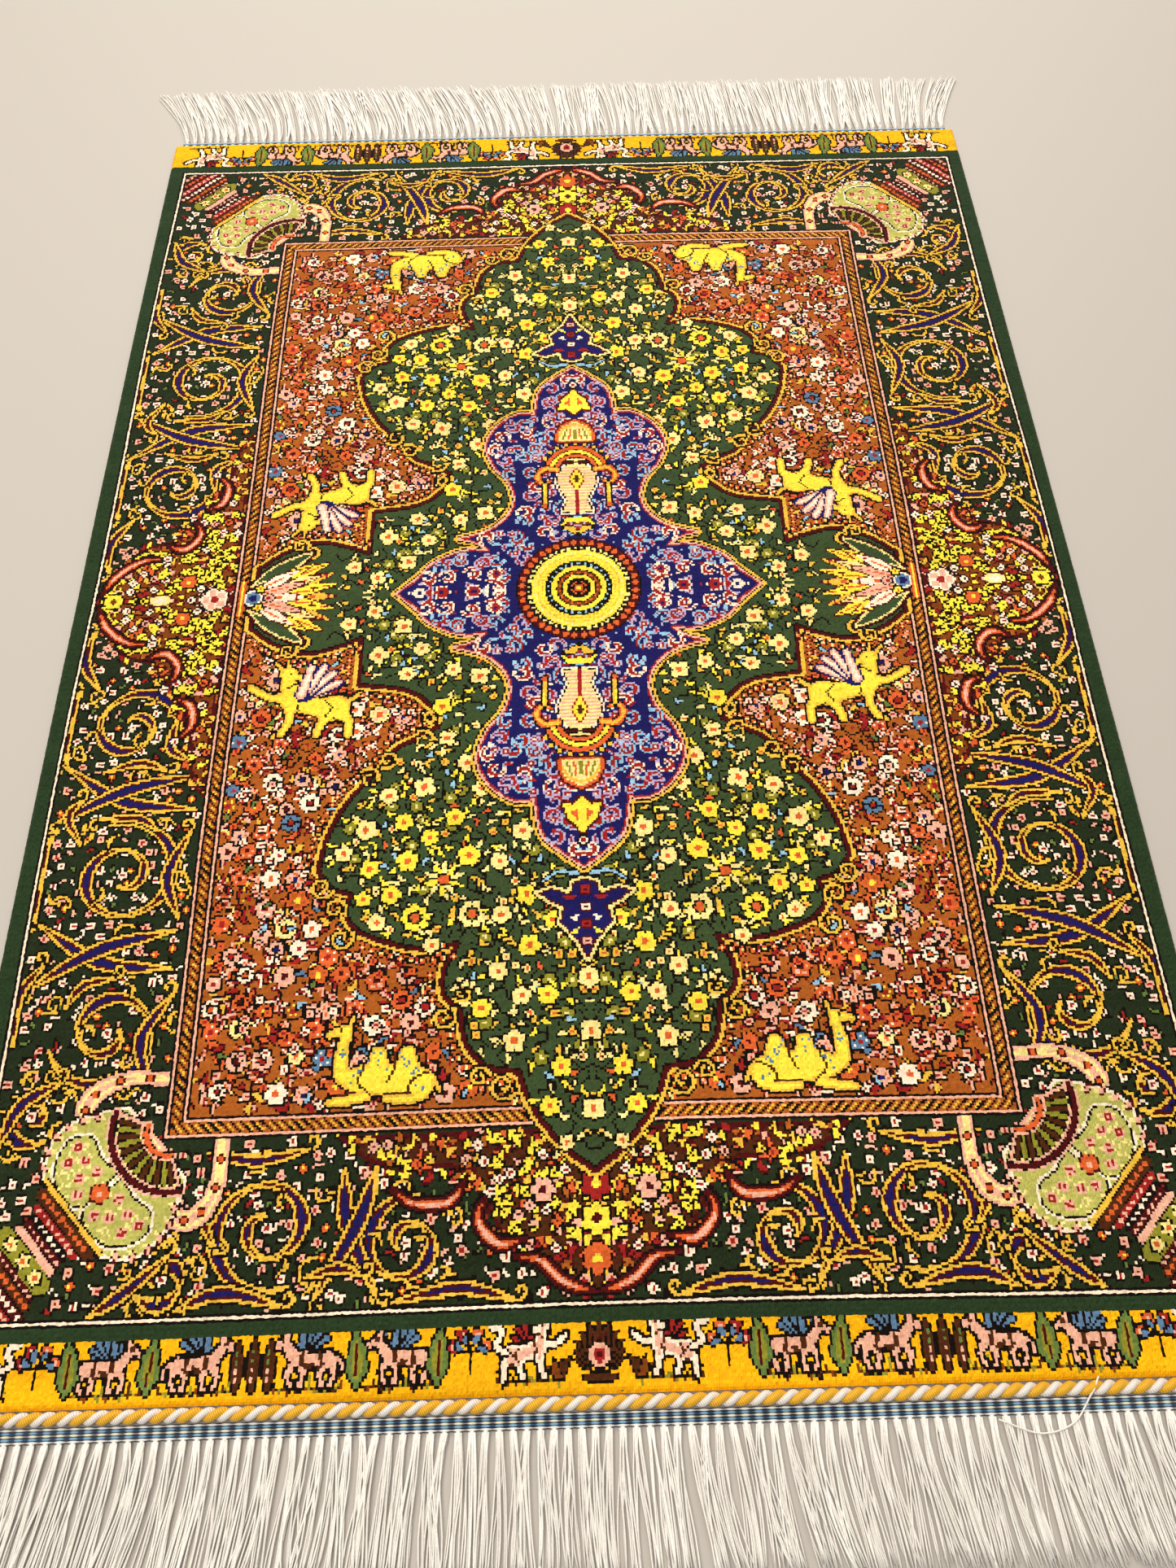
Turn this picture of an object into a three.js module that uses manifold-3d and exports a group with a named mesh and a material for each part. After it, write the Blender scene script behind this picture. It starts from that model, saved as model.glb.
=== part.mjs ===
// A small knotted silk rug that lies flat: the rug body, a twisted cord sewn along the near
// end, and a twined heading with a knotted fringe at each end.
// Millimetres. +X runs across the rug, +Y along it to the far end, +Z up, floor at z = 0.

import * as THREE from 'three';
import { mergeVertices } from 'three/addons/utils/BufferGeometryUtils.js';
import Module from 'manifold-3d';

const wasm = await Module();
wasm.setup();

// Driving dimensions
const RUG_WIDTH = 630;
const RUG_LENGTH = 900;
const RUG_THICKNESS = 4.5;
const SIDE_BOW = 2; // each side stands this much further out at mid length than at its ends
const CORNER_RADIUS = 4;
const PILE_EDGE_ROUND = 1.1;

const SEAM_GAP = 0.3; // between pieces that lie against each other

const CORD_DIAMETER = 6.4;
const CORD_WAIST = 4.6; // across the hollow between the two plies
const CORD_LAY = 12; // length of one full turn of the plies
const CORD_LENGTH = 612;
const CORD_SECTION_POINTS = 6;
const CORD_STEPS_PER_TURN = 8;

const HEADING_LENGTH = 616;
const HEADING_RISE = 2.6;
const HEADING_RIDGE_INSET = 0.7;
const NEAR_HEADING_WIDTH = 6.4;
const FAR_HEADING_WIDTH = 4.6;

const LOCKS_PER_END = 100;
const LOCK_THICKNESS = 1.6;
const FRINGE_TIP_REACH = 521; // mean distance of the fringe's tips from the middle of the rug
const TIP_UNEVENNESS = 3;
const GOLDEN_ANGLE = Math.PI * (3 - Math.sqrt(5)); // spreads the unevenness without a repeat

// Width of a lock, and how much of its lean it has taken, along the way from root to tip
const LOCK_STATIONS = [
  { along: 0.0, width: 4.2, leanShare: 0.0 },
  { along: 0.18, width: 4.7, leanShare: 0.06 },
  { along: 0.48, width: 5.0, leanShare: 0.36 },
  { along: 0.76, width: 4.9, leanShare: 0.7 },
  { along: 1.0, width: 4.4, leanShare: 1.0 },
];

// How far a lock's tip lies sideways of its root, by the root's place across the rug
const NEAR_LEAN = [
  { x: -310, lean: -15 },
  { x: -190, lean: -9 },
  { x: -40, lean: -1 },
  { x: 70, lean: 9 },
  { x: 190, lean: 6 },
  { x: 310, lean: 16 },
];
const FAR_LEAN = [
  { x: -310, lean: -27 },
  { x: -190, lean: -17 },
  { x: -60, lean: -19 },
  { x: 10, lean: -6 },
  { x: 170, lean: -5 },
  { x: 260, lean: 2 },
  { x: 310, lean: 25 },
];

const half = (size) => size / 2;

function paint(color, roughness) {
  return new THREE.MeshStandardMaterial({ color, roughness, metalness: 0 });
}

function solid(geometry) {
  const bare = geometry.clone();
  bare.deleteAttribute('normal');
  bare.deleteAttribute('uv');
  const merged = mergeVertices(bare, 1e-4);
  return new wasm.Manifold(
    new wasm.Mesh({
      numProp: 3,
      vertProperties: new Float32Array(merged.attributes.position.array),
      triVerts: new Uint32Array(merged.index.array),
    }),
  );
}

function geometryOf(manifold) {
  const { vertProperties, triVerts } = manifold.getMesh();
  const geometry = new THREE.BufferGeometry();
  geometry.setAttribute('position', new THREE.BufferAttribute(vertProperties, 3));
  geometry.setIndex(new THREE.BufferAttribute(triVerts, 1));
  const faceted = geometry.toNonIndexed();
  faceted.computeVertexNormals();
  return faceted;
}

// The rug's outline is a rectangle with softly bowed sides and small round corners.
function rugOutline() {
  const x = half(RUG_WIDTH) - SIDE_BOW - PILE_EDGE_ROUND;
  const y = half(RUG_LENGTH) - PILE_EDGE_ROUND;
  const bow = x + 2 * SIDE_BOW; // a quadratic curve passes half way to its control point
  const shape = new THREE.Shape();
  shape.moveTo(-x + CORNER_RADIUS, -y);
  shape.lineTo(x - CORNER_RADIUS, -y);
  shape.quadraticCurveTo(x, -y, x, -y + CORNER_RADIUS);
  shape.quadraticCurveTo(bow, 0, x, y - CORNER_RADIUS);
  shape.quadraticCurveTo(x, y, x - CORNER_RADIUS, y);
  shape.lineTo(-x + CORNER_RADIUS, y);
  shape.quadraticCurveTo(-x, y, -x, y - CORNER_RADIUS);
  shape.quadraticCurveTo(-bow, 0, -x, -y + CORNER_RADIUS);
  shape.quadraticCurveTo(-x, -y, -x + CORNER_RADIUS, -y);
  return shape;
}

function rugBody() {
  const geometry = new THREE.ExtrudeGeometry(rugOutline(), {
    depth: RUG_THICKNESS - 2 * PILE_EDGE_ROUND,
    bevelThickness: PILE_EDGE_ROUND,
    bevelSize: PILE_EDGE_ROUND,
    bevelSegments: 2,
    curveSegments: 8,
  });
  geometry.translate(0, 0, PILE_EDGE_ROUND);
  const mesh = new THREE.Mesh(geometry, paint(0x6b5327, 0.6));
  mesh.name = 'rug_body';
  return mesh;
}

// Two plies laid round each other: a two-lobed section that turns along the cord.
function cordSection() {
  const mean = (CORD_DIAMETER + CORD_WAIST) / 4;
  const swell = (CORD_DIAMETER - CORD_WAIST) / 4;
  const points = [];
  for (let i = 0; i < CORD_SECTION_POINTS; i += 1) {
    const angle = (2 * Math.PI * i) / CORD_SECTION_POINTS;
    const radius = mean + swell * Math.cos(2 * angle);
    points.push(new THREE.Vector2(radius * Math.cos(angle), radius * Math.sin(angle)));
  }
  return new THREE.Shape(points);
}

function twistedCord() {
  const turns = CORD_LENGTH / CORD_LAY;
  const geometry = new THREE.ExtrudeGeometry(cordSection(), {
    depth: CORD_LENGTH,
    steps: Math.round(turns * CORD_STEPS_PER_TURN),
    bevelEnabled: false,
  });
  const position = geometry.attributes.position;
  const point = new THREE.Vector3();
  const axis = new THREE.Vector3(0, 0, 1);
  for (let i = 0; i < position.count; i += 1) {
    point.fromBufferAttribute(position, i);
    point.applyAxisAngle(axis, (-2 * Math.PI * point.z) / CORD_LAY);
    position.setXYZ(i, point.x, point.y, point.z);
  }
  geometry.rotateY(Math.PI / 2);
  geometry.computeVertexNormals();
  const mesh = new THREE.Mesh(geometry, paint(0xe8c04a, 0.5));
  mesh.name = 'edge_cord';
  mesh.position.set(
    -half(CORD_LENGTH),
    -(half(RUG_LENGTH) + SEAM_GAP + half(CORD_DIAMETER)),
    half(CORD_DIAMETER),
  );
  return mesh;
}

function leanAt(table, x) {
  const next = Math.max(1, table.findIndex((row) => row.x >= x));
  const a = table[next - 1];
  const b = table[next];
  return THREE.MathUtils.mapLinear(x, a.x, b.x, a.lean, b.lean);
}

// The plan of one end's fringe: a strip along the rug's edge with its locks side by side.
// "out" is the distance away from the rug, turned into y by the sign of the end.
function fringePlan({ end, innerEdge, headingWidth, leanTable }) {
  const place = (x, out) => new THREE.Vector2(x, end * (innerEdge + out));
  const pitch = HEADING_LENGTH / LOCKS_PER_END;
  const points = [place(-half(HEADING_LENGTH), 0), place(-half(HEADING_LENGTH), headingWidth)];
  for (let i = 0; i < LOCKS_PER_END; i += 1) {
    const root = pitch * (i + 0.5) - half(HEADING_LENGTH);
    const tip = FRINGE_TIP_REACH + TIP_UNEVENNESS * Math.sin(i * GOLDEN_ANGLE) - innerEdge;
    const lean = leanAt(leanTable, root);
    const side = (sign) =>
      LOCK_STATIONS.map(({ along, width, leanShare }) =>
        place(root + lean * leanShare + sign * half(width), THREE.MathUtils.lerp(headingWidth, tip, along)),
      );
    points.push(...side(-1), ...side(1).reverse());
  }
  points.push(place(half(HEADING_LENGTH), headingWidth), place(half(HEADING_LENGTH), 0));
  return new THREE.Shape(points);
}

// The twined heading stands a little higher than the locks, with a soft ridged top.
function headingRidge({ end, innerEdge, headingWidth }) {
  const low = half(LOCK_THICKNESS);
  const shoulder = 0.8 * HEADING_RISE;
  const width = headingWidth - 2 * HEADING_RIDGE_INSET;
  const section = new THREE.Shape();
  section.moveTo(-half(width), low);
  section.lineTo(half(width), low);
  section.lineTo(half(width), shoulder);
  section.lineTo(0.3 * width, HEADING_RISE);
  section.lineTo(-0.3 * width, HEADING_RISE);
  section.lineTo(-half(width), shoulder);
  const length = HEADING_LENGTH - 2 * HEADING_RIDGE_INSET;
  const geometry = new THREE.ExtrudeGeometry(section, { depth: length, bevelEnabled: false });
  geometry.rotateX(Math.PI / 2);
  geometry.rotateZ(Math.PI / 2);
  geometry.translate(-half(length), end * (innerEdge + half(headingWidth)), 0);
  return geometry;
}

function fringe(name, layout) {
  const locks = new THREE.ExtrudeGeometry(fringePlan(layout), {
    depth: LOCK_THICKNESS,
    bevelEnabled: false,
  });
  const joined = solid(locks).add(solid(headingRidge(layout)));
  const mesh = new THREE.Mesh(geometryOf(joined), paint(0xf2e8dc, 0.55));
  mesh.name = name;
  return mesh;
}

const rug = new THREE.Group();
rug.add(rugBody());
rug.add(twistedCord());
rug.add(
  fringe('fringe_near', {
    end: -1,
    innerEdge: half(RUG_LENGTH) + CORD_DIAMETER + 2 * SEAM_GAP,
    headingWidth: NEAR_HEADING_WIDTH,
    leanTable: NEAR_LEAN,
  }),
);
rug.add(
  fringe('fringe_far', {
    end: 1,
    innerEdge: half(RUG_LENGTH) + SEAM_GAP,
    headingWidth: FAR_HEADING_WIDTH,
    leanTable: FAR_LEAN,
  }),
);

export default rug;
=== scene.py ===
import math
import random

import bmesh
import bpy
import numpy as np
from mathutils import Matrix, Vector


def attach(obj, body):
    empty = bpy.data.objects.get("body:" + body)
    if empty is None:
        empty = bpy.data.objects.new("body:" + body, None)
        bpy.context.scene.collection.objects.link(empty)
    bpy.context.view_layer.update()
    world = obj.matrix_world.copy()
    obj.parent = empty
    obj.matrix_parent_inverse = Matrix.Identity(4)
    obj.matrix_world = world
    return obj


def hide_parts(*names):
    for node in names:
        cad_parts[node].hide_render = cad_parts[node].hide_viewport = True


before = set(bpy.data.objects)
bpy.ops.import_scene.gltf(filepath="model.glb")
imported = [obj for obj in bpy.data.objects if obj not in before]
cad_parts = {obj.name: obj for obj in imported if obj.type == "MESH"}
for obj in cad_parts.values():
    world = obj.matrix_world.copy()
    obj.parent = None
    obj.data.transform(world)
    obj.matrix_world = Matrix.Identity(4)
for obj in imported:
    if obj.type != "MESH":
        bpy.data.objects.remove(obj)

# A small knotted silk rug. The dyes of its knots are drawn into a chart of one quarter, in millimetres
# from the rug's middle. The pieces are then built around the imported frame, in metres.

HALF_WIDTH = 315.0
HALF_LENGTH = 450.0
QUARTER_COLUMNS = 256
QUARTER_ROWS = 365

DYES = {
    "pine": "#222c18",
    "fir": "#273920",
    "moss": "#3a4a2a",
    "rust": "#aa5a20",
    "copper": "#7c3d12",
    "saffron": "#fcb410",
    "gold": "#eab93f",
    "butter": "#f7df40",
    "cream": "#f5e08a",
    "ivory": "#fbe4c6",
    "pink": "#ecaf92",
    "coral": "#d8602c",
    "red": "#9c221f",
    "wine": "#4c0e0f",
    "navy": "#1c1956",
    "lilac": "#b6a9c6",
    "slate": "#5b7a98",
    "sky": "#94c0d6",
    "olive": "#8d8829",
    "lime": "#b9b45a",
    "leaf": "#64793a",
    "brown": "#4c260f",
    "black": "#140c08",
}
DYE_NUMBER = {name: number for number, name in enumerate(DYES)}

WHITE_LINE_X = 303.5
WHITE_LINE_Y = 413.5
END_BAND_Y = 421.5
GUARD_X = 214.5
GUARD_Y = 330.0
GUARD_WIDTH = 9.9
ROPE_PITCH = 5.2
WHITE_LINE = [(500, "fir"), (1.4, "black"), (0.7, "ivory"), (-0.9, "black"), (-1.9, "pine")]
GUARD_OUTER_LINES = [(1.8, "black"), (0.8, "pink"), (-0.7, "black")]
GUARD_INNER_LINES = [(-6.5, "black"), (-7.6, "pink"), (-8.8, "black"), (-GUARD_WIDTH, "rust")]
FULL_TURN = 6.28
QUARTER_TURN = 1.57


class Chart:
    """A quarter of the rug's knots as dye numbers; x and y are millimetres from its middle."""

    def __init__(self):
        self.x = (np.arange(QUARTER_COLUMNS) + 0.5) * HALF_WIDTH / QUARTER_COLUMNS
        self.y = (np.arange(QUARTER_ROWS) + 0.5) * HALF_LENGTH / QUARTER_ROWS
        self.knots = np.zeros((QUARTER_ROWS, QUARTER_COLUMNS), np.uint8)

    def window(self, low, high):
        left, right = np.searchsorted(self.x, (low[0], high[0]))
        bottom, top = np.searchsorted(self.y, (low[1], high[1]))
        return np.s_[bottom:top, left:right], self.x[None, left:right], self.y[bottom:top, None]

    def dye(self, window, distance, coats):
        """Each coat is (how far past the shape's edge it reaches, its dye), the widest first."""
        part = self.knots[window]
        for reach, name in coats:
            part[distance < reach] = DYE_NUMBER[name]


def widest(coats):
    return max(reach for reach, _ in coats)


def spot(chart, at, radius, coats, petals=0, depth=0.0, turn=0.0, stretch=1.0):
    """A disc, an oval stretched along turn, or a flower of round petals."""
    reach = radius * max(1.0, stretch) + widest(coats)
    window, x, y = chart.window((at[0] - reach, at[1] - reach), (at[0] + reach, at[1] + reach))
    dx, dy = x - at[0], y - at[1]
    if stretch != 1.0:
        along = (dx * math.cos(turn) + dy * math.sin(turn)) / stretch
        across = dy * math.cos(turn) - dx * math.sin(turn)
        chart.dye(window, np.hypot(along, across) - radius, coats)
        return
    edge = radius
    if petals:
        edge = radius * (1 - depth * (0.5 - 0.5 * np.cos(petals * (np.arctan2(dy, dx) - turn))))
    chart.dye(window, np.hypot(dx, dy) - edge, coats)


def stroke(chart, points, widths, coats):
    """A line through the points; its width swells and tapers through the widths."""
    points = np.asarray(points, float)
    share = np.linspace(0, 1, len(points))
    radius = np.interp(share, np.linspace(0, 1, len(widths)), widths) / 2
    reach = radius.max() + widest(coats)
    window, x, y = chart.window(points.min(0) - reach, points.max(0) + reach)
    nearest = np.full(np.broadcast(x, y).shape, np.inf)
    for a, b, r0, r1 in zip(points[:-1], points[1:], radius[:-1], radius[1:]):
        d = b - a
        t = np.clip(((x - a[0]) * d[0] + (y - a[1]) * d[1]) / max(d @ d, 1e-9), 0, 1)
        away = np.hypot(x - a[0] - t * d[0], y - a[1] - t * d[1]) - (r0 + (r1 - r0) * t)
        nearest = np.minimum(nearest, away)
    chart.dye(window, nearest, coats)


def outline_distance(x, y, outline):
    """Signed distance to a closed outline, negative inside it."""
    outline = np.asarray(outline, float)
    inside = np.zeros(np.broadcast(x, y).shape, bool)
    nearest = np.full(inside.shape, np.inf)
    for a, b in zip(outline, np.roll(outline, -1, 0)):
        d = b - a
        t = np.clip(((x - a[0]) * d[0] + (y - a[1]) * d[1]) / max(d @ d, 1e-9), 0, 1)
        nearest = np.minimum(nearest, np.hypot(x - a[0] - t * d[0], y - a[1] - t * d[1]))
        if a[1] != b[1]:
            crosses = (a[1] > y) != (b[1] > y)
            inside ^= crosses & (x < a[0] + (y - a[1]) * d[0] / d[1])
    return np.where(inside, -nearest, nearest)


def area(chart, outline, coats):
    outline = np.asarray(outline, float)
    reach = widest(coats) + 1
    window, x, y = chart.window(outline.min(0) - reach, outline.max(0) + reach)
    chart.dye(window, outline_distance(x, y, outline), coats)


def smooth(points, steps=6):
    """An open curve through the points (Catmull-Rom)."""
    p = np.asarray(points, float)
    p = np.vstack([2 * p[0] - p[1], p, 2 * p[-1] - p[-2]])
    t = np.linspace(0, 1, steps, endpoint=False)[:, None]
    runs = []
    for a, b, c, d in zip(p[:-3], p[1:-2], p[2:-1], p[3:]):
        runs.append(b + 0.5 * t * (c - a + t * (2 * a - 5 * b + 4 * c - d + t * (3 * (b - c) + d - a))))
    return np.vstack(runs + [p[-2:-1]])


def spiral(centre, start_radius, end_radius, start_angle, turns, steps=28):
    share = np.linspace(0, 1, max(4, int(steps * abs(turns))))
    angle = start_angle + 2 * math.pi * turns * share
    radius = start_radius + (end_radius - start_radius) * share
    return np.stack([centre[0] + radius * np.cos(angle), centre[1] + radius * np.sin(angle)], 1)


def placed(points, at, turn, size=1.0):
    """Points of a motif's own drawing, sized, turned and moved into the chart."""
    p = np.asarray(points, float) * size
    c, s = math.cos(turn), math.sin(turn)
    return np.stack([at[0] + p[:, 0] * c - p[:, 1] * s, at[1] + p[:, 0] * s + p[:, 1] * c], 1)


# Small motifs

def blossom(chart, at, radius, petal, heart="red", petals=4, turn=0.0, line="black"):
    """A tiny flower of a few knots."""
    spot(chart, at, radius, [(0.9, line), (0, petal)], petals, 0.3, turn)
    spot(chart, at, radius * 0.36, [(0, heart)])


def flower(chart, at, radius, petal, heart, petals=5, turn=0.0, line="black", tint=None):
    """Round petals side by side about a heart, edged together by one dark line."""
    size = radius * min(0.43, 2.2 / petals)
    for coats in ([(0.85, line)], [(0, petal)], [(-1.5, tint or petal)]):
        for k in range(petals):
            angle = turn + 2 * math.pi * k / petals
            away = radius - size
            spot(chart, (at[0] + away * math.cos(angle), at[1] + away * math.sin(angle)), size, coats)
    spot(chart, at, radius * 0.3, [(0, heart)])


def leaf(chart, at, length, width, turn, dye, line="black", bend=0.2):
    path = placed(smooth([(0, 0), (0.5, bend), (1, 0)], 3), at, turn, size=length)
    coats = [(0, dye)] if line is None else [(0.75, line), (0, dye)]
    stroke(chart, path, [0.4, width, 0.4], coats)


def curl(chart, at, radius, turn, sense, coats, turns=1.3, width=1.4):
    stroke(chart, spiral(at, radius, radius * 0.25, turn, sense * turns), [width, width * 0.7], coats)


def scattered(rng, low, high, spacing, keep):
    """Places on a jittered triangular net, those where keep(x, y) holds."""
    rows = int((high[1] - low[1]) / (spacing * 0.866)) + 1
    columns = int((high[0] - low[0]) / spacing) + 2
    for row in range(rows):
        for column in range(columns):
            x = low[0] + (column + 0.5 * (row % 2) + rng.uniform(-0.3, 0.3)) * spacing
            y = low[1] + (row + rng.uniform(-0.3, 0.3)) * spacing * 0.866
            if low[0] <= x <= high[0] and low[1] <= y <= high[1] and keep(x, y):
                yield x, y


# Grounds and straight lines

def lay_grounds(chart):
    x, y = chart.x[None, :], chart.y[:, None]
    everywhere = np.s_[:, :]
    to_white = np.maximum(x - WHITE_LINE_X, y - WHITE_LINE_Y)
    chart.dye(everywhere, to_white, WHITE_LINE)
    chart.dye(everywhere, END_BAND_Y - y + 0 * x, [(0, "saffron")])
    to_guard = np.maximum(x - GUARD_X, y - GUARD_Y)
    run = np.where(x - GUARD_X > y - GUARD_Y, y, x)
    chart.dye(everywhere, to_guard, GUARD_OUTER_LINES)
    rope = (to_guard < -1.4) & (to_guard > -6.4)
    rope_core = (to_guard < -2.6) & (to_guard > -5.2)
    slant = np.mod(run + 1.1 * to_guard, ROPE_PITCH)
    chart.knots[(slant < 3.4) & rope] = DYE_NUMBER["rust"]
    chart.knots[(slant > 1.3) & (slant < 2.6) & rope_core] = DYE_NUMBER["gold"]
    chart.dye(everywhere, to_guard, GUARD_INNER_LINES)


# The green medallion's edge, as runs of points between its cusps
GREEN_EDGE = [
    [(0, 354), (12, 345), (25, 331), (33, 318), (38, 304)],
    [(38, 304), (54, 301), (65, 289), (68, 272)],
    [(68, 272), (77, 262), (77, 248), (70, 234)],
    [(70, 234), (90, 236), (110, 231), (124, 225)],
    [(124, 225), (131, 215), (129, 203)],
    [(129, 203), (139, 199), (148, 188)],
    [(148, 188), (143, 165), (132, 143), (115, 124)],
    [(115, 124), (108, 112), (97, 106), (84, 98)],
    [(84, 98), (88, 84), (104, 72), (133, 67)],
    [(133, 67), (133, 50), (134, 33)],
    [(134, 33), (148, 39), (166, 43), (186, 36), (203, 23)],
]
BLUE_EDGE = [
    [(0, 191), (12, 182), (23, 170), (27, 148)],
    [(27, 148), (38, 149), (52, 139), (60, 122), (55, 103), (45, 89), (41, 73), (46, 59), (58, 48), (76, 42)],
    [(76, 42), (66, 39), (57, 32)],
    [(57, 32), (74, 32), (92, 23), (101, 12), (114, 0)],
]


def edge_points(runs):
    return np.vstack([smooth(run)[:-1] for run in runs] + [np.asarray(runs[-1][-1:], float)])


def medallion_outline(runs, side_reach):
    edge = edge_points(runs)
    end = [(side_reach, edge[-1][1]), (side_reach, -5), (-5, -5), (-5, edge[0][1])]
    return np.vstack([edge, end])


def mirrored(edge):
    """An edge drawn on one side of the long axis, closed by its mirror image."""
    return np.vstack([edge, [(-x, y) for x, y in edge[::-1]]])


def lay_medallion(chart, outline, coats):
    x, y = chart.x[None, :], chart.y[:, None]
    chart.dye(np.s_[:, :], outline_distance(x, y, outline), coats)


def reading(distance):
    """A function that reads the distance at a place in the chart."""
    def at(x, y):
        column = int(np.clip(x / HALF_WIDTH * QUARTER_COLUMNS, 0, QUARTER_COLUMNS - 1))
        row = int(np.clip(y / HALF_LENGTH * QUARTER_ROWS, 0, QUARTER_ROWS - 1))
        return distance[row, column]
    return at


# The rust field

FIELD_FLOWERS = [
    # petal, tint, heart
    ("pink", "ivory", "red"),
    ("coral", "pink", "wine"),
    ("pink", "coral", "navy"),
    ("cream", "pink", "coral"),
    ("coral", "rust", "butter"),
    ("ivory", "pink", "red"),
    ("ivory", "ivory", "coral"),
    ("pink", "pink", "wine"),
    ("rust", "butter", "red"),
    ("coral", "ivory", "red"),
    ("slate", "ivory", "red"),
]


def fill_field(chart, green):
    rng = random.Random(21)
    inner_x = GUARD_X - GUARD_WIDTH
    inner_y = GUARD_Y - GUARD_WIDTH

    def free(margin):
        return lambda x, y: green(x, y) > margin and x < inner_x - 2 and y < inner_y - 2

    for x, y in scattered(rng, (0, 0), (inner_x, inner_y), 6.6, free(6)):
        dye = rng.choice(["pink", "coral", "cream", "pink", "gold", "ivory", "ivory", "red", "pink"])
        turn = rng.uniform(0, FULL_TURN)
        bend = rng.choice((-0.3, 0.3))
        length = rng.uniform(6, 10)
        width = rng.uniform(2.6, 3.6)
        line = rng.choice(["black", "black", "wine"])
        leaf(chart, (x, y), length, width, turn, dye, line, bend)
        if dye in ("pink", "ivory", "cream"):
            leaf(chart, (x, y), length * 0.8, 1.2, turn, rng.choice(["red", "coral"]), None, bend)
    for x, y in scattered(rng, (0, 0), (inner_x, inner_y), 17.0, free(7.5)):
        petal, tint, heart = rng.choice(FIELD_FLOWERS)
        petals = rng.choice([5, 6, 8, 5])
        radius = rng.uniform(4.2, 6.2)
        flower(chart, (x, y), radius, petal, heart, petals, rng.uniform(0, FULL_TURN), "black", tint)
    for x, y in scattered(rng, (0, 0), (inner_x, inner_y), 11.5, free(5)):
        kind = rng.random()
        if kind < 0.45:
            blossom(chart, (x, y), 2.5, rng.choice(["ivory", "pink", "coral"]), "red", 4, rng.uniform(0, 1.5))
        elif kind < 0.58:
            leaf(chart, (x, y), 5.5, 2.4, rng.uniform(0, FULL_TURN), rng.choice(["sky", "slate", "leaf"]))


# The green medallion

CURL_LINE = [(0.9, "black"), (0, "gold")]
CUSP_CURLS = [
    # x, y, radius, start angle, sense
    (46, 311, 7.5, 2.6, -1), (58, 306, 5.5, 3.4, 1), (77, 274, 7, 3.9, -1), (67, 262, 5, 0.6, 1),
    (133, 228, 7, 3.6, -1), (137, 211, 6.5, 2.6, 1), (145, 198, 7, 2.8, -1), (122, 131, 7, 5.6, -1),
    (112, 119, 6, 1.0, 1), (92, 107, 7, 5.2, -1), (88, 92, 6, 2.5, 1), (178, 40, 7, 4.6, -1),
    (170, 34, 5, 1.6, 1),
]


def trim_medallion(chart):
    """Beads along the field side of the edge, and scroll curls at the cusps."""
    for run in GREEN_EDGE:
        path = smooth(run, 24)
        length = np.concatenate([[0], np.cumsum(np.hypot(*np.diff(path, axis=0).T))])
        for s in np.arange(3.0, length[-1] - 2, 5.2):
            at = np.array([np.interp(s, length, path[:, k]) for k in (0, 1)])
            ahead = np.array([np.interp(s + 1, length, path[:, k]) for k in (0, 1)]) - at
            out = np.array([-ahead[1], ahead[0]]) / np.hypot(*ahead)
            middle = at + out * 6.6
            if middle[1] < GUARD_Y - GUARD_WIDTH - 2:
                spot(chart, middle, 1.5, [(0.9, "black"), (0, "coral"), (-0.7, "cream")])
    for x, y, radius, turn, sense in CUSP_CURLS:
        curl(chart, (x, y), radius, turn, sense, CURL_LINE, 1.2, 2.0)


MEDALLION_FLOWERS = [
    # x, y, radius, petals: the large blossoms, listed one by one
    (78, 196, 12.5, 10), (62, 217, 8.6, 8), (93, 218, 8.6, 8), (64, 182, 7, 5), (98, 184, 7, 5),
    (107, 204, 6.4, 5), (31, 236, 6.6, 5), (40, 288, 6.6, 5), (22, 264, 6, 5), (32, 207, 6.6, 5),
    (34, 168, 6.6, 5), (90, 138, 7.4, 4), (66, 123, 6.4, 5), (122, 164, 7, 5), (101, 160, 6, 5),
    (60, 63, 7, 4), (82, 84, 6.4, 5), (122, 46, 7, 4), (108, 25, 6.6, 4), (104, 60, 5.6, 6),
    (127, 13, 6, 4), (142, 22, 5.6, 5), (0, 324, 6.6, 5), (16, 302, 6, 5), (0, 284, 6.4, 4),
    (0, 255, 6.6, 6), (48, 250, 6, 5), (57, 270, 6, 5), (47, 186, 5.6, 5), (119, 188, 6, 5),
    (134, 178, 5.6, 5), (114, 220, 5.6, 5), (78, 106, 6, 4), (57, 140, 6, 5), (72, 158, 6, 5),
    (86, 170, 5.6, 5), (110, 143, 6, 5), (96, 42, 5.6, 5), (76, 58, 5.6, 5), (46, 218, 6, 5),
    (18, 222, 5.6, 5), (22, 322, 5.6, 5), (36, 264, 5.6, 5), (14, 340, 4.4, 4), (84, 234, 5, 5),
    (122, 206, 5, 5),
]


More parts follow.
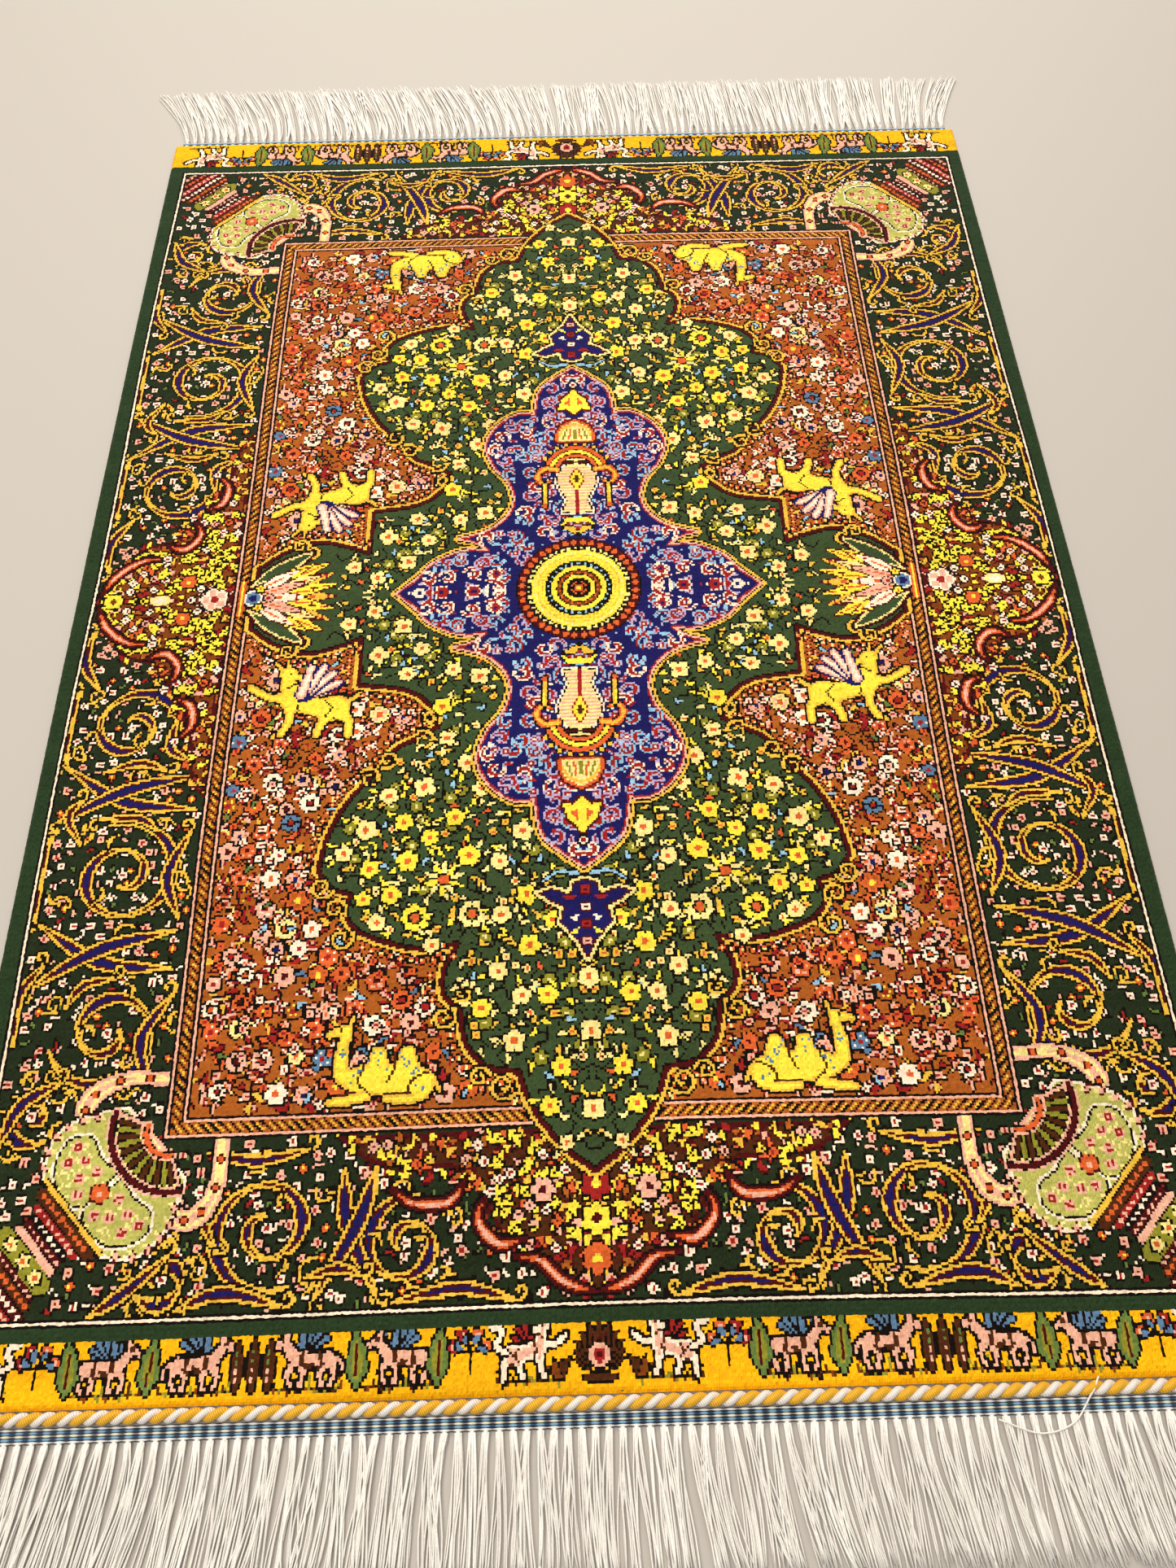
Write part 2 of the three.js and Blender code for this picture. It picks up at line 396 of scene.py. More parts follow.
def fill_medallion(chart, green, blue):
    rng = random.Random(8)

    def free(margin):
        return lambda x, y: green(x, y) < -margin and blue(x, y) > margin and x < 150

    for x, y in scattered(rng, (0, 0), (205, 354), 12.0, free(6)):
        turn = rng.uniform(0, FULL_TURN)
        path = smooth(placed([(-7, -2), (-2, 2), (3, -1.5), (8, 2.5)], (x, y), turn), 4)
        stroke(chart, path, [0.9, 0.9], [(0, "black")])
    for x, y in scattered(rng, (0, 0), (205, 354), 7.0, free(6)):
        kind = rng.random()
        turn = rng.uniform(0, FULL_TURN)
        if kind < 0.5:
            dye = rng.choice(["butter", "cream", "gold", "cream", "gold"])
            leaf(chart, (x, y), rng.uniform(4.6, 6.4), 2.5, turn, dye, "black", rng.choice((-0.25, 0.25)))
        elif kind < 0.6:
            leaf(chart, (x, y), 5.2, 2.4, turn, rng.choice(["sky", "coral"]))
        elif kind < 0.72:
            blossom(chart, (x, y), 2.6, rng.choice(["cream", "gold"]), "coral", 4, turn)
        elif kind < 0.8:
            flower(chart, (x, y), 3.8, "olive", "cream", 6, turn)
    for x, y, size, petals in MEDALLION_FLOWERS:
        radius = size * 0.93
        turn = rng.uniform(0, 1.2)
        if petals == 10:
            for k in range(petals):
                dye = "butter" if k % 2 else "cream"
                leaf(chart, (x, y), radius, radius * 0.34, turn + 2 * math.pi * k / petals, dye, bend=0.0)
            spot(chart, (x, y), radius * 0.26, [(0.8, "black"), (0, "coral")])
            continue
        petal = "cream" if petals == 4 else rng.choice(["butter", "cream"])
        flower(chart, (x, y), radius, petal, "coral", petals, turn)
        for _ in range(2):
            away = turn + rng.uniform(0, FULL_TURN)
            at = (x + (radius + 1.5) * math.cos(away), y + (radius + 1.5) * math.sin(away))
            leaf(chart, at, 5.5, 2.4, away + 0.5, rng.choice(["butter", "cream"]))


PALMETTE_ROOT = (211, 0)
PALMETTE_ROWS = [
    # start, length, width, petals, spread, dyes
    (33, 26, 7.4, 7, 0.46, ("butter", "gold")),
    (24, 26, 7.4, 6, 0.54, ("cream", "butter")),
    (10, 30, 7.8, 5, 0.56, ("ivory", "pink")),
]
PALMETTE_WING = [(206, 9), (198, 20), (186, 29), (170, 35), (176, 26), (186, 18), (206, 9)]


def draw_side_palmette(chart):
    """The palmette that points in from the middle of each long side: rows of petals between two wings."""
    area(chart, smooth(PALMETTE_WING, 4), [(2.4, "black"), (1.5, "wine"), (0.3, "cream"), (-0.9, "moss")])
    for start, length, width, count, spread, dyes in PALMETTE_ROWS:
        for k in range(count):
            turn = math.pi - spread * (2 * k / (count - 1) - 1)
            at = placed([(start, 0)], PALMETTE_ROOT, turn)[0]
            leaf(chart, at, length, width, turn, dyes[k % 2], "wine", 0.0)
            leaf(chart, placed([(4, 0)], at, turn)[0], length * 0.6, 1.5, turn, "coral", None, 0.0)
            spot(chart, placed([(length * 0.8, 0)], at, turn)[0], 1.0, [(0, "red")])
    spot(chart, (204, 0), 6.0, [(1.0, "black"), (0, "ivory"), (-1.4, "slate"), (-3.2, "navy")])
    for x, y, radius, petal, heart in ((194, 0, 3.4, "pink", "red"), (200, 7, 3.0, "butter", "coral")):
        blossom(chart, (x, y), radius, petal, heart, 5, 0.3)
    stroke(chart, [(211, 0), (211, 13)], [3.0, 3.0], [(0.9, "black"), (0, "coral"), (-0.9, "butter")])


PENDANT_EDGE = [
    (0, 198), (7, 200), (9, 207), (18, 203), (27, 206), (20, 212),
    (13, 215), (15, 224), (9, 231), (5, 236), (0, 246),
]


def draw_pendant(chart):
    """The small navy palmette beyond each end of the blue medallion."""
    area(chart, mirrored(PENDANT_EDGE), [(2.2, "black"), (1.2, "cream"), (-0.5, "wine"), (-1.6, "navy")])
    for y, petal in ((205, "red"), (215, "ivory"), (225, "red"), (235, "pink")):
        blossom(chart, (0, y), 3.0, petal, "wine", 4, 0.78, "wine")
    for y, turn, dye in ((208, 0.0, "red"), (219, 0.5, "ivory"), (227, 0.4, "butter")):
        leaf(chart, (4, y), 9 if y < 210 else 6, 2.6, turn, dye, None)
    stroke(chart, smooth([(4, 195), (14, 194), (23, 199)]), [2.8, 0.8], [(0.8, "black"), (0, "sky")])


# The blue medallion

def fill_blue(chart, blue):
    """Red arabesques edged in pale lilac, close together over the whole navy ground."""
    rng = random.Random(5)

    def free(margin):
        return lambda x, y: blue(x, y) < -margin and math.hypot(x, y) > 40 + margin * 0.3

    for x, y in scattered(rng, (0, 0), (115, 191), 12.4, free(5.0)):
        sense = rng.choice((-1, 1))
        turn = rng.uniform(0, FULL_TURN)
        path = spiral((x, y), 5.6, 1.4, turn, sense * 0.9)
        stroke(chart, path, [0.6, 3.1, 1.2], [(0.6, rng.choice(["lilac", "ivory", "sky"])), (-0.3, "red")])
    for x, y in scattered(rng, (0, 0), (115, 191), 8.4, free(2.8)):
        kind = rng.random()
        if kind < 0.22:
            blossom(chart, (x, y), 2.3, "red", "ivory", 4, rng.uniform(0, 1.5), "lilac")
        elif kind < 0.55:
            leaf(chart, (x, y), 4.6, 1.9, rng.uniform(0, FULL_TURN), "red", rng.choice(["lilac", None, None]))
        elif kind < 0.85:
            spot(chart, (x, y), 0.8, [(0, rng.choice(["ivory", "sky", "lilac"]))])


VASE_PROFILE = [
    (0, 60), (10, 61), (9, 66), (7, 71), (10, 78), (13.5, 87),
    (12, 96), (7, 101), (8, 105), (10, 107), (0, 108),
]
BOWL_PROFILE = [(0, 123), (12, 123), (12.5, 129), (9, 137), (0, 142)]
BUD = [(0, 149), (5, 154), (10, 152), (7, 161), (0, 169)]


def draw_vase(chart):
    """A striped vase with two lamps on the long axis, a fringed hood over it and a bowl beyond."""
    area(chart, mirrored(VASE_PROFILE), [(2.6, "navy"), (1.3, "ivory"), (0.3, "black"), (-0.5, "cream")])
    for y in np.arange(64, 100, 2.5):
        row = chart.knots[int(y / HALF_LENGTH * QUARTER_ROWS), :14]
        row[row == DYE_NUMBER["cream"]] = DYE_NUMBER["pink"]
    stroke(chart, [(0, 61), (0, 82)], [1.3, 1.3], [(0, "red")])
    area(chart, [(0, 79), (4.6, 90), (0, 98), (-4.6, 90)], [(1.0, "red"), (0, "butter"), (-2.2, "brown")])
    stroke(chart, [(2, 104), (9, 104)], [1.6, 1.6], [(0.8, "black"), (0, "wine")])
    arm = smooth([(13, 98), (21, 99), (26, 92), (22, 86), (17, 88)])
    stroke(chart, arm, [5.0, 4.0, 2.0], [(0.9, "black"), (0, "coral"), (-1.1, "gold")])
    stroke(chart, [(21, 85), (21, 70)], [3.2, 2.6], [(0.9, "black"), (0, "gold"), (-0.9, "butter")])
    spot(chart, (21, 67), 1.8, [(0.6, "black"), (0, "coral")])
    for radius, dye in ((13.5, "coral"), (16.7, "butter"), (19.9, "coral")):
        stroke(chart, spiral((0, 97), radius, radius, 0.35, 0.36), [2.8, 2.8], [(0.8, "black"), (0, dye)])
    for k in range(5):
        turn = QUARTER_TURN - k * 0.27
        spot(chart, (23.5 * math.cos(turn), 97 + 23.5 * math.sin(turn)), 1.5, [(0.7, "black"), (0, "gold")])
    area(chart, mirrored(BOWL_PROFILE), [(2.2, "wine"), (0.9, "coral"), (-0.8, "cream")])
    for x in (0, 4, 8):
        stroke(chart, [(x, 125), (x * 0.7, 134)], [1.5, 1.2], [(0, "coral" if x == 4 else "olive")])
    stroke(chart, smooth([(0, 138), (7, 135), (11, 128)]), [2.0, 1.4], [(0, "gold")])
    area(chart, BUD, [(2.6, "wine"), (1.0, "butter"), (-2.2, "coral")])
    blossom(chart, (0, 175), 3.0, "ivory", "red", 6)
    for side_turn in (0.55, QUARTER_TURN):
        leaf(chart, (0, 42), 12, 4.6, side_turn, "gold")
    stroke(chart, smooth([(0, 54), (6, 55), (10, 51)]), [4.0, 3.0, 1.0], [(0.9, "black"), (0, "butter")])


SIDE_ARM_ROSETTES = [
    # x, y, radius, petal
    (86, 0, 5.0, "red"), (100, 0, 3.4, "ivory"), (66, 0, 4.8, "red"), (52, 13, 3.6, "red"),
]


def draw_side_arm(chart):
    """Small rosettes along the blue medallion's side arms."""
    for x, y, radius, petal in SIDE_ARM_ROSETTES:
        blossom(chart, (x, y), radius, petal, "navy", 6, 0.0, "ivory")
    for turn in (0.6, -0.6):
        leaf(chart, (46, 0), 14, 3.0, turn, "red", "ivory")


DISC_RINGS = [
    # outer radius, ground, beads, how many, bead radius
    (38.6, "wine", "coral", 40, 2.0),
    (33.0, "black", "cream", 48, 1.0),
    (29.8, "butter", "cream", 56, 0.9),
    (25.4, "butter", "gold", 52, 0.9),
    (20.6, "black", "sky", 30, 0.9),
    (17.4, "butter", None, 0, 0),
    (13.4, "copper", "coral", 18, 0.9),
    (10.4, "butter", None, 0, 0),
    (7.2, "black", "coral", 8, 1.1),
]


def draw_disc(chart):
    for k, (radius, ground, bead, count, size) in enumerate(DISC_RINGS):
        inner = DISC_RINGS[k + 1][0] if k + 1 < len(DISC_RINGS) else 2.0
        line = "gold" if k == 3 else "black"
        spot(chart, (0, 0), radius, [(0.8, line), (0, ground)])
        for i in range(count):
            turn = 2 * math.pi * (i + 0.5) / count
            middle = (radius + inner) / 2
            spot(chart, (middle * math.cos(turn), middle * math.sin(turn)), size, [(0, bead)])
    spot(chart, (0, 0), 4.4, [(0, "coral")], 8, 0.6)
    spot(chart, (0, 0), 1.3, [(0, "butter")])


# The main border

SCROLL = [(1.0, "black"), (0, "gold"), (-1.5, "wine"), (-2.6, "navy")]
GOLD_LINE = [(0.8, "black"), (0, "gold")]

BORDER_SPIRALS = [
    # x, y, radius, start angle, sense, turns
    (252, 276, 30, 0.3, 1, 1.5),
    (256, 187, 33, -1.2, -1, 1.6),
    (264, 92, 29, 2.6, 1, 1.45),
    (160, 375, 29, 2.0, -1, 1.55),
    (92, 384, 22, 4.4, 1, 1.4),
    (284, 318, 15, 2.2, -1, 1.1),
    (208, 396, 13, 0.4, 1, 1.1),
]
BORDER_LEAVES = [
    # root, bend, tip, width
    ((222, 242), (262, 237), (299, 214), 7.0),
    ((222, 220), (262, 230), (299, 252), 7.0),
    ((220, 147), (262, 141), (300, 117), 7.0),
    ((222, 125), (262, 134), (300, 155), 7.0),
    ((226, 304), (234, 280), (219, 254), 6.0),
    ((222, 214), (231, 188), (220, 158), 6.0),
    ((124, 348), (121, 374), (104, 409), 7.0),
    ((108, 348), (116, 374), (136, 409), 7.0),
    ((200, 410), (178, 403), (148, 410), 6.0),
    ((240, 411), (226, 402), (204, 384), 5.6),
    ((299, 334), (290, 312), (270, 300), 6.0),
    ((300, 282), (302, 256), (290, 236), 5.2),
    ((300, 214), (303, 186), (299, 160), 5.6),
    ((299, 116), (303, 90), (299, 64), 5.6),
    ((98, 410), (66, 405), (38, 411), 5.6),
    ((192, 338), (168, 343), (140, 338), 5.2),
    ((226, 116), (240, 106), (238, 84), 5.0),
    ((288, 66), (300, 46), (298, 20), 5.2),
    ((276, 262), (268, 250), (250, 246), 4.6),
    ((240, 160), (252, 152), (276, 152), 4.6),
    ((282, 168), (292, 150), (284, 138), 4.6),
    ((276, 122), (256, 116), (238, 122), 4.6),
    ((184, 350), (192, 366), (184, 384), 5.0),
    ((140, 398), (124, 394), (112, 398), 4.6),
]


def fill_border(chart):
    """Tiny blossoms and leaves spread over the ground between the scrolls."""
    rng = random.Random(13)

    def free(x, y):
        outside_guard = x > GUARD_X + 4 or y > GUARD_Y + 4
        return outside_guard and x < WHITE_LINE_X - 4 and y < WHITE_LINE_Y - 4

    low, high = (0, 0), (WHITE_LINE_X, WHITE_LINE_Y)
    for x, y in scattered(rng, low, high, 10.0, free):
        dye = rng.choice(["ivory", "pink", "red", "leaf", "ivory"])
        leaf(chart, (x, y), rng.uniform(3.8, 5.6), 1.7, rng.uniform(0, FULL_TURN), dye)
    for x, y in scattered(rng, low, high, 9.6, free):
        kind = rng.random()
        if kind < 0.72:
            radius = rng.uniform(2.2, 3.0)
            petal = rng.choice(["ivory", "pink", "ivory"])
            blossom(chart, (x, y), radius, petal, "red", 4, rng.uniform(0, 1.5))
        elif kind < 0.86:
            blossom(chart, (x, y), 2.2, "coral", "butter", 4)


def draw_tendrils(chart):
    """Thin gold tendrils that fill in between the large scrolls."""
    rng = random.Random(31)
    for x, y, radius, turn, sense, _ in BORDER_SPIRALS:
        for k in range(5):
            angle = turn + k * 1.26 + 0.4
            at = (x + (radius + 3) * math.cos(angle), y + (radius + 3) * math.sin(angle))
            curl(chart, at, rng.uniform(5.5, 8), angle + 2.2, -sense, GOLD_LINE, 0.8, 1.7)
            leaf(chart, at, 9, 2.6, angle + sense * 1.2, "gold", bend=0.3)


def draw_scrolls(chart):
    for x, y, radius, turn, sense, turns in BORDER_SPIRALS:
        path = spiral((x, y), radius, radius * 0.2, turn, sense * turns)
        stroke(chart, path, [1.8, 8.6, 2.6, 8.2, 2.4, 6.4, 1.8], SCROLL)
        blossom(chart, (x, y), 3.0, "ivory", "red", 5)
        for share, side in ((0.2, 1), (0.42, -1), (0.62, 1)):
            k = int(share * (len(path) - 1))
            ahead = path[k + 1] - path[k]
            turn_out = math.atan2(ahead[1], ahead[0]) + side * 0.9
            leaf(chart, path[k], radius * 0.36, 2.4, turn_out, "gold", bend=0.3 * side)
    for root, bend, tip, width in BORDER_LEAVES:
        path = smooth([root, bend, tip], 8)
        stroke(chart, path, [1.6, width * 1.05, width * 1.3, width, 1.6], SCROLL)
        ahead = path[-1] - path[-2]
        turn = math.atan2(ahead[1], ahead[0])
        centre = path[-1] + placed([(0, 4)], (0, 0), turn)[0]
        curl(chart, centre, 4, turn - QUARTER_TURN, 1, GOLD_LINE, 0.8, 1.9)


CLUSTERS = {
    # cluster: outline of half of it, from the guard outwards
    "side": [
        (216, 142), (226, 130), (230, 104), (240, 80), (257, 52),
        (272, 45), (283, 40), (285, 22), (300, 10), (302, 0),
    ],
    "end": [
        (132, 332), (112, 347), (88, 352), (72, 351), (60, 360),
        (50, 378), (38, 391), (22, 397), (12, 408), (0, 411),
    ],
}


def draw_cluster(chart, edge, inner, ground, seed):
    """A cluster of flames and small palmettes in yellow, rust and wine that grows over its own edge."""
    rng = random.Random(seed)
    outline = np.vstack([smooth(edge, 3), inner])
    distance = outline_distance(chart.x[None, :], chart.y[:, None], outline)
    chart.dye(np.s_[:, :], distance, [(-1.0, "wine"), (-3.0, ground)])
    inside = reading(distance)
    low, high = np.maximum(outline.min(0), 0), outline.max(0)
    for u, v in scattered(rng, low, high, 5.4, lambda x, y: inside(x, y) < 0.5):
        dye = rng.choice(["red", "rust", "coral", "gold", "butter", "gold", "pink", "butter", "butter"])
        turn = rng.uniform(0, FULL_TURN)
        length, width = rng.uniform(4.5, 7.5), rng.uniform(2.4, 3.6)
        leaf(chart, (u, v), length, width, turn, dye, rng.choice(["black", "wine"]))
    for u, v in scattered(rng, low, high, 9.0, lambda x, y: inside(x, y) < -2):
        turn = rng.uniform(0, FULL_TURN)
        kind = rng.random()
        if kind < 0.45:
            for k in (-0.8, 0, 0.8):
                leaf(chart, (u, v), 6.5, 3.0, turn + k, "butter", "black")
        elif kind < 0.8:
            petal = rng.choice(["ivory", "coral", "pink", "ivory"])
            blossom(chart, (u, v), 2.7, petal, rng.choice(["red", "wine"]), 4)


RIBBON = [(1.0, "black"), (0, "wine"), (-1.5, "coral"), (-2.4, "pink")]
RIBBONS = [
    # root, bend, second bend, tip
    [(300, 4), (292, 20), (278, 31), (262, 33)],
    [(264, 44), (252, 40), (243, 52), (250, 66)],
    [(242, 72), (232, 78), (230, 92), (238, 102)],
    [(0, 409), (16, 404), (28, 394), (44, 392)],
    [(34, 384), (48, 386), (58, 374), (52, 362)],
    [(64, 356), (72, 366), (90, 366), (104, 356)],
]


def draw_border_middles(chart):
    draw_cluster(chart, CLUSTERS["side"], [(216, -4), (216, 142)], "copper", 3)
    draw_cluster(chart, CLUSTERS["end"], [(-4, 411), (-4, 332)], "brown", 4)
    for ribbon in RIBBONS:
        path = smooth(ribbon, 5)
        stroke(chart, path, [1.6, 6.4, 7.0, 5.0, 1.6], RIBBON)
        blossom(chart, path[-1], 2.8, "ivory", "red", 5)
    flower(chart, (228, 0), 9, "ivory", "red", 5, 0.0, "black", "pink")
    spot(chart, (262, 0), 4.0, [(1.0, "wine"), (0, "cream"), (-2.0, "ivory")], stretch=1.7)
    flower(chart, (291, 0), 6, "butter", "copper", 6)
    flower(chart, (246, 14), 5, "coral", "butter", 6)
    for y, petal, heart in ((360, "red", "butter"), (376, "butter", "wine"), (394, "coral", "butter")):
        flower(chart, (0, y), 7.5, petal, heart, 6, 0.5)
    flower(chart, (26, 362), 6, "pink", "wine", 6)


# Corner vases. u runs from the guard's corner to the outer corner, v across

VASE_CORNER = (GUARD_X, GUARD_Y - 1.5)
VASE_TURN = math.atan2(WHITE_LINE_Y - GUARD_Y, WHITE_LINE_X - GUARD_X)
VASE_BODY = [(6, 24), (16, 31), (28, 37), (40, 38), (50, 32), (56, 24)]
VASE_PANEL = [(29, 3), (30, 14), (28, 25), (36, 31), (46, 27), (52, 19), (52, 4), (44, 1), (29, 3)]
VASE_HANDLES = [
    [(216, 301), (236, 300), (250, 305), (257, 314), (252, 323), (246, 320)],
    [(186, 332), (186, 350), (190, 363), (199, 370), (208, 366), (205, 360)],
]
HANDLE_COATS = [(1.7, "black"), (0.8, "pink"), (-0.8, "cream"), (-2.6, "pink")]
VASE_BANDS = [
    # distance along the vase, half length, width, dye, dots
    (55.5, 23.5, 2.2, "gold", None),
    (60.0, 19.5, 5.6, "brown", "coral"),
    (65.2, 15.5, 3.4, "red", "pink"),
    (69.0, 12.5, 3.2, "black", "ivory"),
    (72.8, 12.5, 3.4, "wine", "pink"),
    (76.8, 13.8, 3.4, "pink", None),
    (83.6, 15.2, 9.0, "olive", None),
    (90.0, 16.2, 2.6, "wine", "pink"),
    (94.0, 18.0, 4.4, "brown", "coral"),
    (99.0, 20.5, 4.4, "wine", "ivory"),
    (104.5, 23.0, 4.4, "red", "pink"),
    (110.0, 25.0, 4.4, "wine", "coral"),
    (115.5, 26.5, 4.6, "brown", "pink"),
]


def vase_points(points):
    return placed(points, VASE_CORNER, VASE_TURN)


def both_sides(profile):
    return vase_points(list(profile) + [(u, -v) for u, v in reversed(profile)])


def draw_corner_vase(chart):
    for handle in VASE_HANDLES:
        path = smooth(handle, 6)
        stroke(chart, path, [5.0, 6.4, 9.0, 8.0, 5.0], HANDLE_COATS)
        for share in (0.12, 0.28, 0.46, 0.64):
            spot(chart, path[int(share * len(path))], 1.6, [(0.7, "wine"), (0, "coral")])
    area(chart, both_sides(smooth(VASE_BODY)), [(2.0, "black"), (0.9, "ivory"), (-0.7, "lime")])
    for side in (1, -1):
        for u, v in ((18, 29), (24, 33), (31, 35), (38, 35.5), (45, 32.5), (51, 27)):
            at = vase_points([(u, side * v)])[0]
            leaf(chart, at, 5, 2.4, VASE_TURN + side * 1.2, "pink", "wine")
            spot(chart, at, 1.2, [(0, "cream")])
        panel = vase_points([(u, side * v) for u, v in smooth(VASE_PANEL)])
        area(chart, panel, [(2.4, "ivory"), (1.3, "black"), (0.3, "lime")])
        rng = random.Random(6)
        for _ in range(34):
            u, v = rng.uniform(31, 51), rng.uniform(3, 28)
            if (u - 30) * 0.55 + v < 31:
                at = vase_points([(u, side * v)])[0]
                leaf(chart, at, 3.6, 1.4, rng.uniform(0, FULL_TURN), "cream", None)
        for u, v in ((35, 9), (36, 18), (43, 13), (43, 23), (48, 7), (35, 26)):
            at = vase_points([(u, side * v)])[0]
            blossom(chart, at, 2.2, "red", "pink", 4, 0.6, "pink")
    flower(chart, vase_points([(40, 0)])[0], 4.6, "coral", "pink", 5, 0.4, "wine")
    arc_turns = np.linspace(-1.12, 1.12, 17)
    base = [(5, 12)] + [(26 * math.cos(a), 30 * math.sin(a)) for a in arc_turns[::-1]] + [(5, -12)]
    area(chart, vase_points(base), [(1.6, "black"), (0.7, "pink"), (-0.8, "cream")])
    for k in range(-6, 7):
        spread = k / 6 * 0.98
        along, across = math.cos(spread), math.sin(spread)
        flute = [(13 * along, 15 * across), (21.5 * along, 25 * across)]
        stroke(chart, vase_points(flute), [1.6, 3.0], [(0.6, "black"), (0, "olive" if k % 2 else "brown")])
    for radius, dye in ((9.5, "coral"), (26.0, "wine")):
        arc = [(radius * math.cos(a), radius * 1.14 * math.sin(a)) for a in arc_turns]
        stroke(chart, vase_points(arc), [2.4, 2.6, 2.4], [(1.4, "pink"), (0.5, "black"), (0, dye)])
    for u, reach, width, dye, dots in VASE_BANDS:
        stroke(chart, vase_points([(u, -reach), (u, reach)]), [width, width], [(0.6, "black"), (0, dye)])
        if dots:
            for v in np.arange(-reach + 1.5, reach, 3.8):
                spot(chart, vase_points([(u, v)])[0], min(1.4, width * 0.3), [(0, dots)])
    for v in (-10.5, 0, 10.5):
        blossom(chart, vase_points([(83.6, v)])[0], 3.6, "cream", "coral", 5)


# Animals. Each is drawn facing right with its feet at v = 0, in millimetres

def figure(chart, parts, at, size, facing, up, coats):
    """All the parts' edges first, then their fill, so that the parts run together in one outline."""
    for reach, dye in coats:
        for widths, points in parts:
            p = np.asarray(points, float) * (size * facing, size * up) + at
            if len(p) == 1:
                spot(chart, p[0], widths[0] * size / 2, [(reach, dye)])
            else:
                stroke(chart, smooth(p, 4) if len(p) > 2 else p, [w * size for w in widths], [(reach, dye)])


CAMEL = [
    # widths, points
    ([15, 16, 15], [(9, 10), (24, 12), (38, 12)]),
    ([8, 15], [(15, 25), (15, 15)]),
    ([8, 14], [(30, 25), (30, 15)]),
    ([15], [(8, 9)]),
    ([11, 7, 5.5], [(41, 11), (49, 16), (49, 27), (47, 36)]),
    ([6.5, 4], [(47, 38), (56, 36)]),
    ([2.4, 1.4], [(45, 41), (44, 45)]),
    ([6, 5, 4], [(6, 4), (14, 1), (25, 2)]),
    ([6, 5, 4], [(36, 4), (44, 2), (54, 1)]),
    ([3, 2], [(2, 12), (-2, 5)]),
]
CAMEL_LINES = [
    ([1.2, 1.2], [(22, 26), (22, 17), (25, 10)]),
    ([1.2, 1.2], [(4, 15), (12, 11), (15, 4)]),
    ([1.2, 1.2], [(37, 19), (40, 11), (34, 5)]),
    ([1.2, 1.2], [(13, 4), (27, 5)]),
    ([1.2, 1.2], [(41, 6), (50, 4)]),
    ([1.6], [(50, 38.5)]),
]
LION = [
    ([18, 13, 15], [(9, 19), (22, 21), (38, 27)]),
    ([13, 9], [(38, 29), (41, 41)]),
    ([11], [(41, 45)]),
    ([6, 4], [(39, 44), (32, 42)]),
    ([3, 1.4], [(45, 48), (50, 54)]),
    ([3, 1.4], [(41, 49), (43, 56)]),
    ([8, 5, 5], [(40, 28), (52, 29), (64, 36)]),
    ([8, 5, 5], [(38, 24), (38, 11), (42, 2)]),
    ([9, 5.5, 5], [(6, 16), (1, 9), (1, 0)]),
    ([9, 5.5, 5], [(14, 15), (18, 8), (20, 1)]),
    ([3, 2.4], [(2, 24), (-5, 30), (-3, 38)]),
]
LION_LINES = [
    ([1.2, 1.2], [(17, 25), (12, 20), (16, 13)]),
    ([1.2, 1.2], [(7, 10), (10, 12)]),
    ([1.2, 1.2], [(31, 32), (34, 24), (32, 18)]),
    ([1.2, 1.2], [(36, 38), (41, 35)]),
    ([1.6], [(40, 46)]),
]
WING = [
    ([6, 4], [(30, 28), (18, 34), (9, 38)]),
    ([6, 4], [(30, 29), (20, 38), (13, 45)]),
    ([6, 4], [(31, 29), (24, 41), (19, 50)]),
    ([6, 4], [(32, 30), (29, 42), (27, 51)]),
]
GOAT = [
    ([12, 11, 12], [(8, 20), (22, 20), (36, 21)]),
    ([7, 3.5, 3.5], [(6, 18), (3, 9), (6, 0)]),
    ([7, 3.5, 3.5], [(13, 16), (15, 8), (13, 0)]),
    ([7, 3.5, 3.5], [(32, 18), (30, 8), (32, 0)]),
    ([7, 3.5, 3.5], [(38, 19), (43, 10), (40, 0)]),
    ([10, 7], [(39, 24), (47, 34)]),
    ([8, 4], [(47, 36), (56, 31)]),
    ([2.4, 2, 1.4], [(46, 38), (42, 46), (34, 45)]),
    ([3, 3, 2], [(2, 22), (-4, 16), (-3, 9)]),
]
GOAT_LINES = [
    ([2.6, 2.6], [(16, 24), (14, 17), (17, 13)]),
    ([2.6, 2.6], [(31, 25), (32, 18)]),
    ([2.6, 2.6], [(22, 17), (27, 15)]),
    ([3.0], [(49, 36)]),
]


YELLOW_COAT = [(1.4, "black"), (0, "gold"), (-1.3, "butter")]
FEATHER_COAT = [(1.1, "navy"), (0, "pink"), (-1.2, "ivory")]
CAMEL_FOOT = (80, 317)
CAMEL_FLECKS = [
    # u, v, radius
    (15, 21, 5), (30, 21, 5), (9, 11, 5), (40, 13, 4), (48, 26, 2),
]
LION_FOOT = (136, 101)
LION_SIZE = 0.96


def draw_field_animals(chart):
    figure(chart, CAMEL, CAMEL_FOOT, 1.0, 1, -1, YELLOW_COAT)
    rng = random.Random(2)
    for u, v, radius in CAMEL_FLECKS:
        for _ in range(7):
            du, dv = rng.uniform(-radius, radius), rng.uniform(-radius, radius)
            spot(chart, (CAMEL_FOOT[0] + u + du, CAMEL_FOOT[1] - v - dv), 0.7, [(0, "slate")])
    figure(chart, CAMEL_LINES, CAMEL_FOOT, 1.0, 1, -1, [(0, "brown")])
    figure(chart, LION, LION_FOOT, LION_SIZE, 1, -1, YELLOW_COAT)
    figure(chart, LION_LINES, LION_FOOT, LION_SIZE, 1, -1, [(0, "brown")])
    for feather in WING:
        figure(chart, [feather], LION_FOOT, LION_SIZE, 1, -1, FEATHER_COAT)


# The yellow end bands

